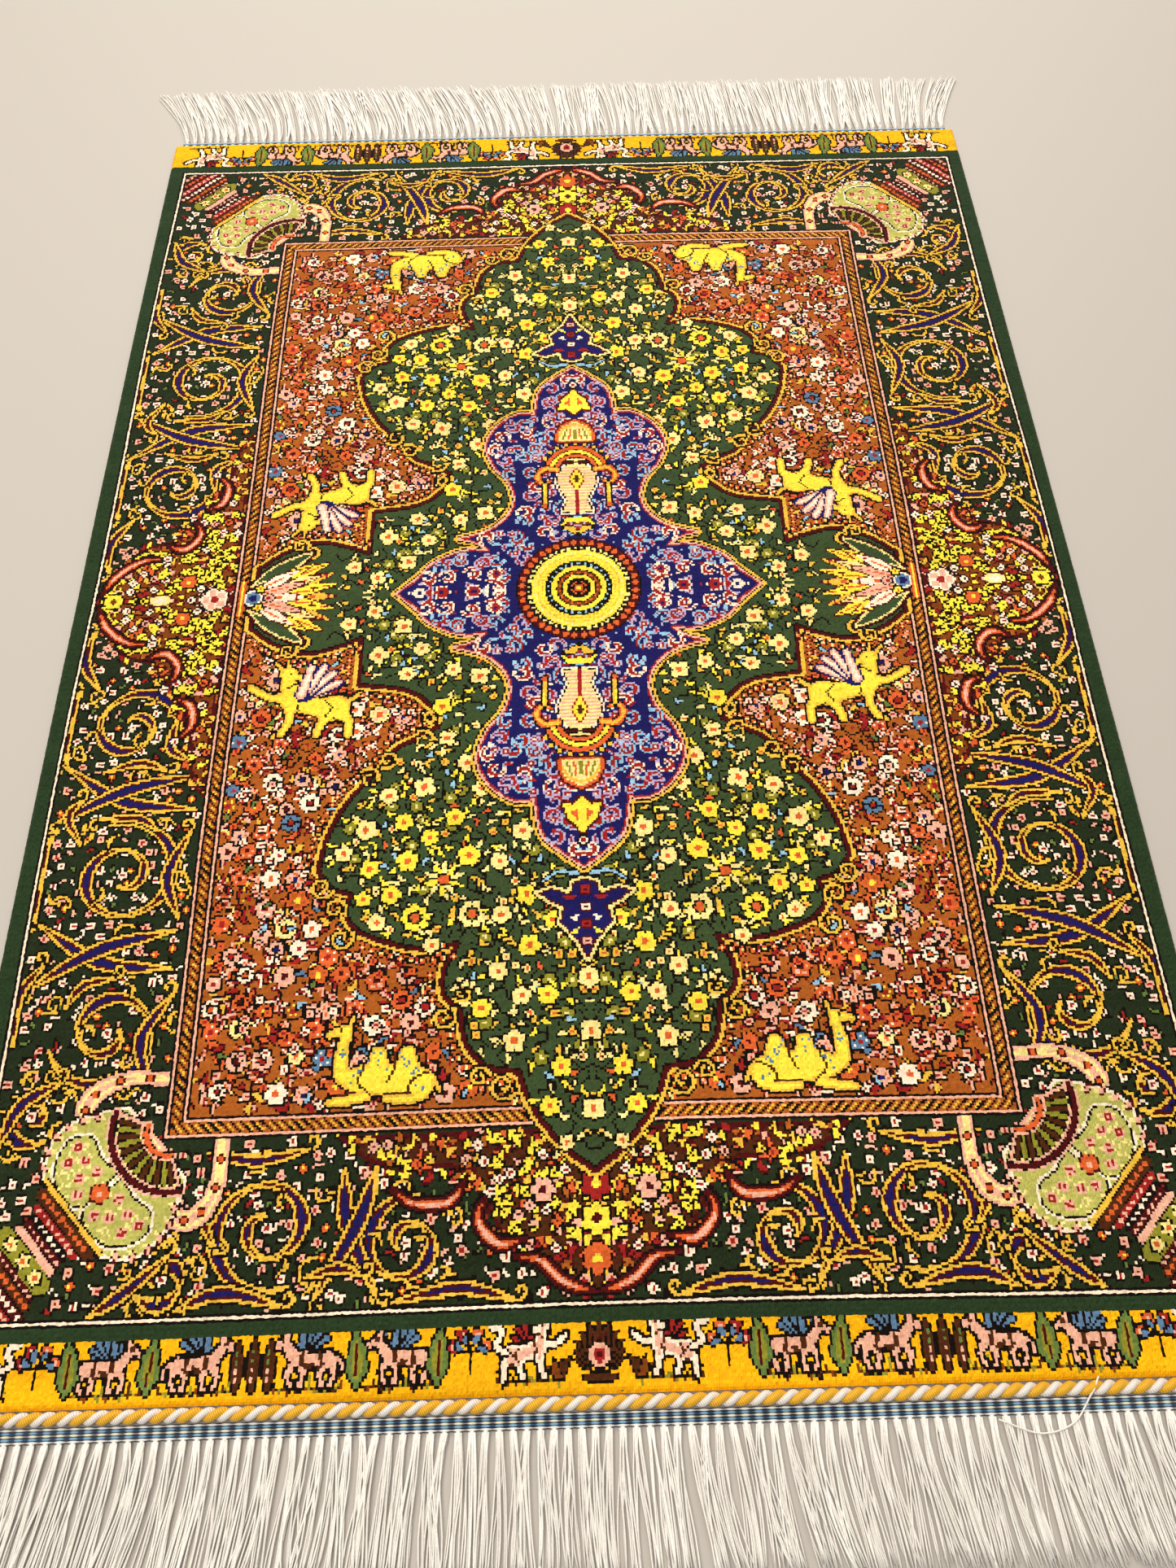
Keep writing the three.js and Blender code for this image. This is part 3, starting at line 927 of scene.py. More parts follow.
def cypress(chart, at, height, up):
    """Three small dark cypresses side by side."""
    for dx, share in ((-7.4, 0.94), (0, 1.0), (7.4, 0.94)):
        foot = np.array([at[0] + dx, at[1]])
        tip = foot + (0, up * height * share)
        path = [foot, foot * 0.65 + tip * 0.35, foot * 0.3 + tip * 0.7, tip]
        stroke(chart, path, [2.0, 5.6, 4.4, 0.8], [(0.9, "black"), (0, "brown")])
        for k in (0.2, 0.38, 0.56, 0.74):
            spot(chart, foot * (1 - k) + tip * k + (0.7, 0), 0.8, [(0, "leaf" if k > 0.5 else "pink")])


def sprig(chart, at, up):
    for turn in (0.3, 1.1, 2.0, 2.85):
        tip = placed([(8.0, 0)], at, turn * up)[0]
        stroke(chart, [at, tip], [1.2, 1.2], [(0, "black")])
        blossom(chart, tip, 3.0, "red" if turn < 1.5 else "coral", "pink", 4, turn)
        leaf(chart, placed([(3, 0)], at, turn * up)[0], 5.5, 2.6, (turn + 0.5) * up, "slate")
    stroke(chart, [at, (at[0], at[1] - up * 9)], [1.2, 1.2], [(0, "black")])


def tall_leaf(chart, at, height, up, lean):
    tip = (at[0] + lean, at[1] + up * height)
    middle = ((at[0] + tip[0]) / 2 - lean * 0.4, (at[1] + tip[1]) / 2)
    path = smooth([at, middle, tip])
    stroke(chart, path, [1.5, 9.4, 7.4, 0.8], [(1.2, "black"), (0, "leaf"), (-1.8, "olive")])
    stroke(chart, path[2:-3], [1.2, 1.2], [(0, "wine")])


def beast(chart, parts, lines, at, size, facing, plume, coat):
    """A pale beast with a dark edge and a plume on its back, on a tuft of dark grass."""
    blades = random.Random(int(at[0]))
    for k in range(26):
        x = at[0] + facing * size * (k * 2.6 - 5)
        rise = blades.uniform(-6.0, 2.6)
        dye = blades.choice(["black", "brown", "olive", "brown", "copper"])
        tip = (x + blades.uniform(-2, 2), at[1] + 1.4 + rise)
        stroke(chart, [(x, at[1] + 1.4), tip], [1.4, 1.4], [(0, dye)])
    for feather in WING:
        figure(chart, [feather], (at[0] + facing, at[1] + 1), size, facing, -1, [(1.1, "black"), (0, plume)])
    figure(chart, parts, at, size, facing, -1, [(1.5, "black"), (0, coat), (-1.4, "pink")])
    figure(chart, lines, at, size, facing, -1, [(0.4, "brown")])


def draw_end_band(chart):
    """Beasts, tall leaves, flower sprigs and small cypresses, mirrored about the middle of each half."""
    foot = HALF_LENGTH - 6.6
    middle = 160.0
    for mirror in (1, -1):
        def at(x):
            return middle + mirror * (x - middle)
        beast(chart, GOAT, GOAT_LINES, (at(121), foot), 0.53, mirror, "slate", "pink")
        for dx in (-5, 0, 5):
            leaf(chart, (at(94 + dx), foot - 11), 10, 4.4, -QUARTER_TURN, "slate")
        beast(chart, GOAT, GOAT_LINES, (at(79), foot), 0.5, mirror, "slate", "pink")
        tall_leaf(chart, (at(75), foot + 1), 23, -1, -1.5 * mirror)
        tall_leaf(chart, (at(112), foot + 1), 23, -1, 1.5 * mirror)
        sprig(chart, (at(60), foot - 11), -1)
        beast(chart, LION, LION_LINES, (at(45), foot), 0.46, -mirror, "red", "ivory")
        tail = [(at(43), foot - 10), (at(48), foot - 13), (at(45), foot - 19), (at(50), foot - 21)]
        stroke(chart, smooth(tail), [2.2, 2.6], [(0.9, "black"), (0, "ivory")])
    cypress(chart, (middle, foot + 1), 22, -1)
    for turn in np.linspace(0.1, QUARTER_TURN, 6):
        leaf(chart, (0, foot - 5), 11 + 4.4 * turn, 6.0, -turn, "brown", bend=0.0)
        leaf(chart, (0, foot - 5), 8 + 3.4 * turn, 2.4, -turn, "wine", None, 0.0)
    spot(chart, (0, foot - 8), 5.0, [(0.9, "black"), (0, "pink"), (-2.0, "red"), (-3.4, "wine")])
    stroke(chart, [(0, foot + 0.5), (7, foot + 0.5)], [3.4, 1.4], [(1.0, "black"), (0, "brown")])
    leaf(chart, (17, foot + 1), 9, 4.0, -2.0, "brown")
    leaf(chart, (17, foot + 1), 9, 4.0, -1.1, "copper")


def draw_quarter():
    chart = Chart()
    x, y = chart.x[None, :], chart.y[:, None]
    lay_grounds(chart)
    grounds = chart.knots.copy()
    green_outline = medallion_outline(GREEN_EDGE, 203.0)
    blue_outline = medallion_outline(BLUE_EDGE, 114.0)
    green = reading(outline_distance(x, y, green_outline))
    blue = reading(outline_distance(x, y, blue_outline))
    fill_field(chart, green)
    fill_border(chart)
    draw_tendrils(chart)
    draw_scrolls(chart)
    draw_border_middles(chart)
    draw_corner_vase(chart)
    to_guard = np.maximum(x - GUARD_X, y - GUARD_Y)
    outside = np.maximum(x - WHITE_LINE_X, y - WHITE_LINE_Y) > -2.0
    kept = outside | ((to_guard < 1.9) & (to_guard > -GUARD_WIDTH))
    chart.knots[kept] = grounds[kept]
    draw_field_animals(chart)
    lay_medallion(chart, green_outline, [
        (4.0, "black"), (3.3, "gold"), (1.5, "wine"), (-1.0, "black"), (-1.9, "moss"),
    ])
    trim_medallion(chart)
    fill_medallion(chart, green, blue)
    draw_side_palmette(chart)
    draw_pendant(chart)
    lay_medallion(chart, blue_outline, [
        (4.6, "black"), (3.7, "gold"), (2.2, "black"), (1.4, "pink"), (0.1, "red"), (-1.0, "navy"),
    ])
    fill_blue(chart, blue)
    draw_vase(chart)
    draw_side_arm(chart)
    draw_disc(chart)
    above_band = chart.knots.copy()
    draw_end_band(chart)
    return np.where(y + 0 * x < END_BAND_Y, above_band, chart.knots)


# The rug's own shape

MM = 0.001
COLUMNS = 2 * QUARTER_COLUMNS
ROWS = 2 * QUARTER_ROWS
SIDE_BOW = 2.0
PILE_TOP = 4.35
EDGE_ROUND = 3.0
EDGE_DROP = 1.9
KNOT_JITTER = 0.16
PILE_UNEVENNESS = 0.11
FOUNDATION_TOP = 3.3
FOUNDATION_INSET = 0.7
FLOOR_CLEARANCE = 0.15
SKIRT_DEPTH = 1.6


def half_width_at(y):
    return HALF_WIDTH - SIDE_BOW * (y / HALF_LENGTH) ** 2


def hand_woven(x, y):
    """The slow drift that hand weaving leaves in lines that should be straight, in millimetres."""
    dx = 0.8 * np.sin(y / 61.0 + 0.6) + 0.6 * np.sin(y / 143.0 + x / 210.0)
    dy = 0.8 * np.sin(x / 83.0 + 1.1) + 0.7 * np.sin(x / 171.0 - y / 260.0)
    return dx, dy


def pile_places():
    """Where every corner between knots lies, as arrays of x, y and z in metres."""
    rng = np.random.default_rng(40)
    across, along = np.meshgrid(np.linspace(-1, 1, COLUMNS + 1), np.linspace(-1, 1, ROWS + 1))
    y = along * HALF_LENGTH
    x = across * half_width_at(y)
    to_side = half_width_at(y) - np.abs(x)
    to_end = HALF_LENGTH - np.abs(y)
    to_edge = np.minimum(to_side, to_end)
    calm = np.clip(to_edge / 12.0, 0, 1)
    dx, dy = hand_woven(x, y)
    x = x + calm * (dx + rng.normal(0, KNOT_JITTER, x.shape))
    y = y + calm * (dy + rng.normal(0, KNOT_JITTER, y.shape))
    z = PILE_TOP + rng.normal(0, PILE_UNEVENNESS, x.shape)
    z += 0.12 * np.sin(x / 37.0 + y / 59.0) + 0.1 * np.sin(y / 23.0 - x / 71.0)
    z -= EDGE_DROP * np.clip(1 - to_edge / EDGE_ROUND, 0, 1) ** 2
    return x * MM, y * MM, z * MM


def knot_colours(quarter):
    """Every knot's dye in linear colour, with the small differences that hand dyeing leaves."""
    rng = np.random.default_rng(41)
    half = np.concatenate([quarter[:, ::-1], quarter], 1)
    whole = np.concatenate([half[::-1], half], 0)
    srgb = np.array([[int(code[k:k + 2], 16) / 255 for k in (1, 3, 5)] for code in DYES.values()])
    linear = np.where(srgb <= 0.04045, srgb / 12.92, ((srgb + 0.055) / 1.055) ** 2.4)
    colours = linear[whole]
    shade = rng.normal(1.0, 0.09, whole.shape)
    rows = rng.normal(1.0, 0.03, (ROWS, 1))
    return np.clip(colours * (shade * rows)[..., None], 0, 1)


PILE_ZONES = {
    # piece: (first column, last column, first row, last row) in millimetres from the middle
    "pile_band_near": (-HALF_WIDTH, HALF_WIDTH, -HALF_LENGTH, -END_BAND_Y),
    "pile_border_near": (-HALF_WIDTH, HALF_WIDTH, -END_BAND_Y, -GUARD_Y),
    "pile_border_left": (-HALF_WIDTH, -GUARD_X, -GUARD_Y, GUARD_Y),
    "pile_border_right": (GUARD_X, HALF_WIDTH, -GUARD_Y, GUARD_Y),
    "pile_field_near": (-GUARD_X, GUARD_X, -GUARD_Y, 0.0),
    "pile_field_far": (-GUARD_X, GUARD_X, 0.0, GUARD_Y),
    "pile_border_far": (-HALF_WIDTH, HALF_WIDTH, GUARD_Y, END_BAND_Y),
    "pile_band_far": (-HALF_WIDTH, HALF_WIDTH, END_BAND_Y, HALF_LENGTH),
}


def new_piece(name, mesh, material, stands_for):
    piece = bpy.data.objects.new(name, mesh)
    bpy.context.scene.collection.objects.link(piece)
    mesh.materials.append(material)
    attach(piece, "root")
    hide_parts(stands_for)
    return piece


def mesh_from(bm, name):
    mesh = bpy.data.meshes.new(name)
    bm.to_mesh(mesh)
    bm.free()
    return mesh


def shade_smooth(mesh):
    for face in mesh.polygons:
        face.use_smooth = True


def pile_zone(name, zone, places, colours, material):
    """One zone of pile: a fine grid with a face for each knot and a skirt down into the foundation."""
    left, right = (round((v / HALF_WIDTH + 1) / 2 * COLUMNS) for v in zone[:2])
    near, far = (round((v / HALF_LENGTH + 1) / 2 * ROWS) for v in zone[2:])
    columns, rows = right - left, far - near
    bm = bmesh.new()
    bmesh.ops.create_grid(bm, x_segments=columns, y_segments=rows, size=0.5)
    rim = [edge for edge in bm.edges if edge.is_boundary]
    skirt = bmesh.ops.extrude_edge_only(bm, edges=rim)["geom"]
    bmesh.ops.translate(bm, vec=(0, 0, -1), verts=[v for v in skirt if isinstance(v, bmesh.types.BMVert)])
    bmesh.ops.recalc_face_normals(bm, faces=bm.faces[:])
    mesh = mesh_from(bm, name)
    flat = np.empty(len(mesh.vertices) * 3)
    mesh.vertices.foreach_get("co", flat)
    flat = flat.reshape(-1, 3)
    column = left + np.rint((flat[:, 0] + 0.5) * columns).astype(int)
    row = near + np.rint((flat[:, 1] + 0.5) * rows).astype(int)
    x, y, z = (values[row, column] for values in places)
    z = np.where(flat[:, 2] < -0.5, (FOUNDATION_TOP - SKIRT_DEPTH) * MM, z)
    middles = np.empty(len(mesh.polygons) * 3)
    mesh.polygons.foreach_get("center", middles)
    middles = middles.reshape(-1, 3)
    knot_column = left + np.clip((middles[:, 0] + 0.5) * columns, 0, columns - 1).astype(int)
    knot_row = near + np.clip((middles[:, 1] + 0.5) * rows, 0, rows - 1).astype(int)
    dyed = np.ones((len(mesh.polygons), 4))
    dyed[:, :3] = colours[knot_row, knot_column]
    mesh.vertices.foreach_set("co", np.stack([x, y, z], 1).ravel())
    mesh.attributes.new("dye", "FLOAT_COLOR", "FACE").data.foreach_set("color", dyed.ravel())
    bake = mesh.uv_layers.new(name="OFBake")
    corners = np.empty(len(mesh.loops), int)
    mesh.loops.foreach_get("vertex_index", corners)
    flat_uv = 0.01 + 0.98 * (flat[:, :2] + 0.5)
    bake.data.foreach_set("uv", flat_uv[corners].ravel())
    mesh.update()
    return new_piece(name, mesh, material, "rug_body")


def foundation(material):
    """The woven ground under the pile, with its overcast sides."""
    bm = bmesh.new()
    bmesh.ops.create_grid(bm, x_segments=2, y_segments=40, size=0.5)
    for v in bm.verts:
        y = v.co.y * 2 * (HALF_LENGTH - FOUNDATION_INSET)
        x = v.co.x * 2 * (half_width_at(y) - FOUNDATION_INSET)
        v.co = (x * MM, y * MM, FLOOR_CLEARANCE * MM)
    bottom = bm.faces[:]
    top = bmesh.ops.extrude_face_region(bm, geom=bottom)["geom"]
    raised = [v for v in top if isinstance(v, bmesh.types.BMVert)]
    bmesh.ops.translate(bm, vec=(0, 0, (FOUNDATION_TOP - FLOOR_CLEARANCE) * MM), verts=raised)
    bmesh.ops.recalc_face_normals(bm, faces=bm.faces[:])
    hard = [e for e in bm.edges if e.calc_face_angle(0) > 1.0]
    bmesh.ops.bevel(bm, geom=hard, offset=0.9 * MM, affect="EDGES", segments=3, profile=0.5, material=-1)
    mesh = mesh_from(bm, "rug_foundation")
    shade_smooth(mesh)
    return new_piece("rug_foundation", mesh, material, "rug_body")


# The twisted cord along the near end

CORD_LAY = 12.0
CORD_LENGTH = 612.0
CORD_DIAMETER = 6.4
SEAM_GAP = 0.3
CORD_Y = -(HALF_LENGTH + SEAM_GAP + CORD_DIAMETER / 2)
PLY_STEPS_PER_TURN = 14
PLIES = {
    # piece: (ply radius, distance from the cord's middle, start angle)
    "cord_ply_yellow": (1.95, 1.25, 0.0),
    "cord_ply_white": (1.62, 1.55, math.pi),
}


def cord_ply(name, radius, offset, start, material):
    """One ply: a ring spun round the cord's axis and drawn along it, with closed ends."""
    turns = CORD_LENGTH / CORD_LAY
    steps = round(turns * PLY_STEPS_PER_TURN)
    bm = bmesh.new()
    bmesh.ops.create_circle(bm, cap_ends=True, segments=9, radius=radius * MM)
    slope = math.atan2(2 * math.pi * offset, CORD_LAY)
    lay = Matrix.Rotation(start, 4, "X") @ Matrix.Translation((0, 0, offset * MM))
    lay = lay @ Matrix.Rotation(slope, 4, "Z") @ Matrix.Rotation(math.pi / 2, 4, "Y")
    bmesh.ops.transform(bm, matrix=lay, verts=bm.verts[:])
    bmesh.ops.spin(
        bm, geom=bm.faces[:], cent=(0, 0, 0), axis=(1, 0, 0), dvec=(CORD_LENGTH / steps * MM, 0, 0),
        angle=-2 * math.pi * turns, steps=steps, use_duplicate=False,
    )
    bmesh.ops.recalc_face_normals(bm, faces=bm.faces[:])
    place = Matrix.Translation((-CORD_LENGTH / 2 * MM, CORD_Y * MM, CORD_DIAMETER / 2 * MM))
    bmesh.ops.transform(bm, matrix=place, verts=bm.verts[:])
    mesh = mesh_from(bm, name)
    shade_smooth(mesh)
    return new_piece(name, mesh, material, "edge_cord")


# Threads, as joined tubes

def tubes(name, runs, sides):
    """Joins many thin tubes into one mesh; a run is (points, radii, colour), all in metres."""
    turn = np.arange(sides) * 2 * math.pi / sides
    all_points, all_faces, all_colours = [], [], []
    count = 0
    for points, radii, colour in runs:
        ahead = np.gradient(points, axis=0)
        ahead /= np.linalg.norm(ahead, axis=1)[:, None]
        side = np.cross(ahead, (0.0, 0.0, 1.0))
        side /= np.linalg.norm(side, axis=1)[:, None]
        up = np.cross(side, ahead)
        ring = side[:, None] * np.cos(turn)[None, :, None] + up[:, None] * np.sin(turn)[None, :, None]
        tube = points[:, None] + ring * np.asarray(radii)[:, None, None]
        steps = len(points)
        index = count + np.arange(steps * sides).reshape(steps, sides)
        a, b = index[:-1], index[1:]
        quads = np.stack([a, np.roll(a, -1, 1), np.roll(b, -1, 1), b], -1).reshape(-1, 4)
        all_points.append(tube.reshape(-1, 3))
        all_faces += quads.tolist() + [index[0][::-1].tolist(), index[-1].tolist()]
        shades = np.broadcast_to(colour, (steps, 3))
        shades = np.concatenate([shades, np.ones((steps, 1))], 1)
        all_colours.append(np.repeat(shades, sides, 0))
        count += steps * sides
    mesh = bpy.data.meshes.new(name)
    mesh.from_pydata(np.vstack(all_points).tolist(), [], all_faces)
    thread = mesh.attributes.new("thread", "FLOAT_COLOR", "POINT")
    thread.data.foreach_set("color", np.vstack(all_colours).ravel())
    for face in mesh.polygons:
        face.use_smooth = len(face.vertices) == 4
    mesh.update()
    return mesh


LOCKS_PER_END = 100
THREADS_PER_LOCK = 9
THREAD_STATIONS = 8
HEADING_LENGTH = 616.0
LOCK_PITCH = HEADING_LENGTH / LOCKS_PER_END
FRINGE_TIP_REACH = 521.0
THREAD_RADIUS = 0.45
LOCK_KNOT_RADII = (0.9, 1.45, 1.6, 1.5, 1.2, 0.6)
LOCK_KNOT_LENGTH = 6.5
WARP_WHITE = (0.93, 0.88, 0.80)
LOOSE_THREAD = [(226, -449), (221, -456), (212, -467), (196, -471), (178, -465)]
ENDS = {
    # end: (sign, inner edge of the heading, its width, lean of the locks as (x, lean))
    "near": (-1, HALF_LENGTH + CORD_DIAMETER + 2 * SEAM_GAP, 6.4,
             [(-310, -15), (-190, -9), (-40, -1), (70, 9), (190, 6), (310, 16)]),
    "far": (1, HALF_LENGTH + SEAM_GAP, 4.6,
            [(-310, -27), (-190, -17), (-60, -19), (10, -6), (170, -5), (260, 2), (310, 25)]),
}
HEADING_ROWS = {
    # end: rows of yarn from the rug outwards
    "near": ("ivory", "blue", "cream", "blue", "ivory"),
    "far": ("ivory", "blue", "blue", "ivory"),
}
YARN_COLOUR_AND_DIP_SHADE = {
    # yarn: (its colour where it crosses over the columns of warp, painted shade where it dips between them)
    "ivory": ((0.88, 0.85, 0.80), (0.55, 0.55, 0.55)),
    "blue": ((0.20, 0.42, 0.62), (0.02, 0.07, 0.16)),
    "cream": ((0.90, 0.80, 0.55), (0.30, 0.30, 0.30)),
}


def heading(end, material):
    """Twined yarns: each row rises over the columns of warp and dips between them, its colour fading to
    painted shade in the dips.
    """
    sign, inner, width, _ = ENDS[end]
    rows = HEADING_ROWS[end]
    steps = LOCKS_PER_END * 6
    x = np.linspace(-HEADING_LENGTH / 2, HEADING_LENGTH / 2, steps + 1)
    wave = np.cos(2 * math.pi * (x / LOCK_PITCH - 0.5))
    # Share of the yarn's own colour; the rest is painted shade, darkest midway between warp columns where the
    # yarn dips.
    over = np.clip(0.5 + 0.9 * wave, 0, 1)[:, None]
    runs = []
    for k, yarn in enumerate(rows):
        out = inner + width * (k + 0.5) / len(rows)
        points = np.stack([x, sign * (out + 0 * x), 1.6 + 0.5 * wave], 1) * MM
        radii = (0.44 + 0.14 * wave) * MM
        crest_colour, painted_dip_shade = np.array(YARN_COLOUR_AND_DIP_SHADE[yarn])
        runs.append((points, radii, crest_colour * over + painted_dip_shade * (1 - over)))
    bed_x = np.array([-HEADING_LENGTH / 2, HEADING_LENGTH / 2])
    for k in range(5):
        out = inner + width * (k + 0.5) / 5
        bed = np.stack([bed_x, np.full(2, sign * out), np.full(2, 0.75)], 1) * MM
        runs.append((bed, np.full(2, 0.7 * MM), (0.012, 0.016, 0.03)))
    mesh = tubes("heading_" + end, runs, 6)
    return new_piece("heading_" + end, mesh, material, "fringe_" + end)


def fringe(end, material):
    """Locks of loose warp threads: a round knot at the heading, then threads that fan out over the floor."""
    sign, inner, width, leans = ENDS[end]
    rng = np.random.default_rng(7 if end == "near" else 9)
    at, lean_by = np.array(leans, float).T
    share = np.linspace(0, 1, THREAD_STATIONS)
    bow = share ** 1.5
    open_out = np.clip((share - 0.12) / 0.88, 0, 1) ** 0.8
    root = inner + width - 0.6
    runs = []
    for lock in range(LOCKS_PER_END):
        root_x = LOCK_PITCH * (lock + 0.5) - HEADING_LENGTH / 2
        lean = np.interp(root_x, at, lean_by) + rng.normal(0, 2.0)
        wander = rng.normal(0, 1.0)
        knot_out = root + np.linspace(0, LOCK_KNOT_LENGTH, len(LOCK_KNOT_RADII))
        knot_z = np.linspace(1.75, 1.3, len(LOCK_KNOT_RADII))
        knot = np.stack([root_x + 0 * knot_out, sign * knot_out, knot_z], 1) * MM
        runs.append((knot, np.array(LOCK_KNOT_RADII) * MM, WARP_WHITE))
        for thread in range(THREADS_PER_LOCK):
            spot_across = (thread + 0.5) / THREADS_PER_LOCK - 0.5
            layer = (thread * 7) % 3
            tip = FRINGE_TIP_REACH + rng.normal(0, 2.2) - 0.06 * abs(lean)
            fan = spot_across * (3.0 + 5.2 * open_out) + rng.normal(0, 1.1) * open_out
            sway = wander * np.sin(share * math.pi) + rng.normal(0, 0.6) * np.sin(share * 2 * math.pi)
            x = root_x + lean * bow + fan + sway
            out = root + 1.0 + (tip - root - 1.0) * share
            low = THREAD_RADIUS + 0.1 + layer * 0.6
            rise = np.abs(rng.normal(0, 0.35)) * np.sin(share * math.pi)
            z = low + (1.3 - 0.3 * layer) * (1 - share) ** 3 + rise
            points = np.stack([x, sign * out, z], 1) * MM
            radii = np.full(THREAD_STATIONS, THREAD_RADIUS) * MM
            runs.append((points, radii, np.clip(np.array(WARP_WHITE) * rng.normal(1.0, 0.05), 0, 1)))
    if end == "near":
        path = smooth(LOOSE_THREAD, 5)
        rise = np.interp(np.arange(len(path)), (0, 4, 8, len(path) - 1), (4.8, 6.0, 3.0, 3.2))
        points = np.column_stack([path, rise]) * MM
        runs.append((points, np.full(len(path), THREAD_RADIUS * MM), WARP_WHITE))
    mesh = tubes("fringe_threads_" + end, runs, 4)
    return new_piece("fringe_threads_" + end, mesh, material, "fringe_" + end)


# Materials

def material_with_shader(name):
    material = bpy.data.materials.new(name)
    material.use_nodes = True
    nodes = material.node_tree.nodes
    return material, nodes, material.node_tree.links, nodes["Principled BSDF"]


def with_inputs(node, values):
    """Sets a node's own sockets by name and gives the node back."""
    for socket, value in values.items():
        node.inputs[socket].default_value = value
    return node


def silk_pile_material():
    material, nodes, links, shader = material_with_shader("silk_pile")
    dye = nodes.new("ShaderNodeAttribute")
    dye.attribute_name = "dye"
    place = nodes.new("ShaderNodeTexCoord")
    streaks = with_inputs(nodes.new("ShaderNodeMapping"), {"Scale": (6.0, 60.0, 1.0)})
    abrash = with_inputs(nodes.new("ShaderNodeTexNoise"), {"Scale": 1.0, "Detail": 4.0})
    tone = with_inputs(nodes.new("ShaderNodeMapRange"), {
        "From Min": 0.3, "From Max": 0.7, "To Min": 0.86, "To Max": 1.12,
    })
    shaded = nodes.new("ShaderNodeVectorMath")
    shaded.operation = "MULTIPLY"
    fibres = with_inputs(nodes.new("ShaderNodeTexNoise"), {"Scale": 1500.0, "Detail": 2.0})
    columns = with_inputs(nodes.new("ShaderNodeTexWave"), {
        "Scale": 255.0, "Distortion": 2.5, "Detail": 1.0, "Detail Scale": 2.0,
    })
    surface = nodes.new("ShaderNodeVectorMath")
    nap = with_inputs(nodes.new("ShaderNodeBump"), {"Strength": 0.5, "Distance": 0.0004})
    links.new(place.outputs["Object"], streaks.inputs["Vector"])
    links.new(streaks.outputs["Vector"], abrash.inputs["Vector"])
    links.new(abrash.outputs["Fac"], tone.inputs["Value"])
    links.new(dye.outputs["Color"], shaded.inputs[0])
    links.new(tone.outputs["Result"], shaded.inputs[1])
    links.new(shaded.outputs["Vector"], shader.inputs["Base Color"])
    links.new(place.outputs["Object"], fibres.inputs["Vector"])
    links.new(place.outputs["Object"], columns.inputs["Vector"])
    links.new(fibres.outputs["Color"], surface.inputs[0])
    links.new(columns.outputs["Color"], surface.inputs[1])
    links.new(surface.outputs["Vector"], nap.inputs["Height"])
    links.new(nap.outputs["Normal"], shader.inputs["Normal"])
    with_inputs(shader, {
        "Roughness": 0.55, "Specular IOR Level": 0.04,
        "Sheen Weight": 0.06, "Sheen Roughness": 0.35, "Sheen Tint": (1.0, 0.93, 0.78, 1.0),
    })
    return material


def thread_material(name, roughness):
    """Loose silk: each thread's own tone, broken by fine flecks along it."""
    material, nodes, links, shader = material_with_shader(name)
    tone = nodes.new("ShaderNodeAttribute")
    tone.attribute_name = "thread"
    place = nodes.new("ShaderNodeTexCoord")
    flecks = with_inputs(nodes.new("ShaderNodeTexNoise"), {"Scale": 900.0, "Detail": 3.0})
    strength = with_inputs(nodes.new("ShaderNodeMapRange"), {"To Min": 0.82, "To Max": 1.12})
    shaded = nodes.new("ShaderNodeVectorMath")
    shaded.operation = "MULTIPLY"
    twist = with_inputs(nodes.new("ShaderNodeBump"), {"Strength": 0.4, "Distance": 0.0003})
    links.new(place.outputs["Object"], flecks.inputs["Vector"])
    links.new(flecks.outputs["Fac"], strength.inputs["Value"])
    links.new(tone.outputs["Color"], shaded.inputs[0])
    links.new(strength.outputs["Result"], shaded.inputs[1])
    links.new(shaded.outputs["Vector"], shader.inputs["Base Color"])
    links.new(flecks.outputs["Fac"], twist.inputs["Height"])
    links.new(twist.outputs["Normal"], shader.inputs["Normal"])
    with_inputs(shader, {"Roughness": roughness, "Specular IOR Level": 0.35, "Sheen Weight": 0.15})
    return material


def banded_material(name, low, high, direction, per_metre, roughness):
    """Laid yarn: fine bands across one direction, with a little noise in their tone; the first colour is
    painted shade in the hollows of the bands' ridges, the second the yarn's colour on their crests.
    """
    material, nodes, links, shader = material_with_shader(name)
    place = nodes.new("ShaderNodeTexCoord")
    turned = with_inputs(nodes.new("ShaderNodeMapping"), {"Rotation": direction})
    bands = with_inputs(nodes.new("ShaderNodeTexWave"), {
        "Scale": per_metre, "Distortion": 1.5, "Detail": 2.0,
    })
    # The bands' low side, which is also the bump's hollow, gets the first colour: painted shade in the
    # hollows.
    hollow_shade_ramp = nodes.new("ShaderNodeValToRGB")
    hollow_shade_ramp.color_ramp.elements[0].color = (*low, 1.0)
    hollow_shade_ramp.color_ramp.elements[1].color = (*high, 1.0)
    ridges = with_inputs(nodes.new("ShaderNodeBump"), {"Strength": 0.45, "Distance": 0.0004})
    links.new(place.outputs["Object"], turned.inputs["Vector"])
    links.new(turned.outputs["Vector"], bands.inputs["Vector"])
    links.new(bands.outputs["Fac"], hollow_shade_ramp.inputs["Fac"])
    links.new(hollow_shade_ramp.outputs["Color"], shader.inputs["Base Color"])
    links.new(bands.outputs["Fac"], ridges.inputs["Height"])
    links.new(ridges.outputs["Normal"], shader.inputs["Normal"])
    with_inputs(shader, {"Roughness": roughness, "Sheen Weight": 0.15})
    return material


# Camera, floor and light

PHOTO_WIDTH, PHOTO_HEIGHT = 1445, 1927
FOCAL_PIXELS = 1447.0
CAMERA_PLACE = (-0.0031, -0.4511, 0.6046)
CAMERA_AZIMUTH = math.radians(1.0147)
CAMERA_TILT = math.radians(62.502)
CAMERA_ROLL = math.radians(-0.609)


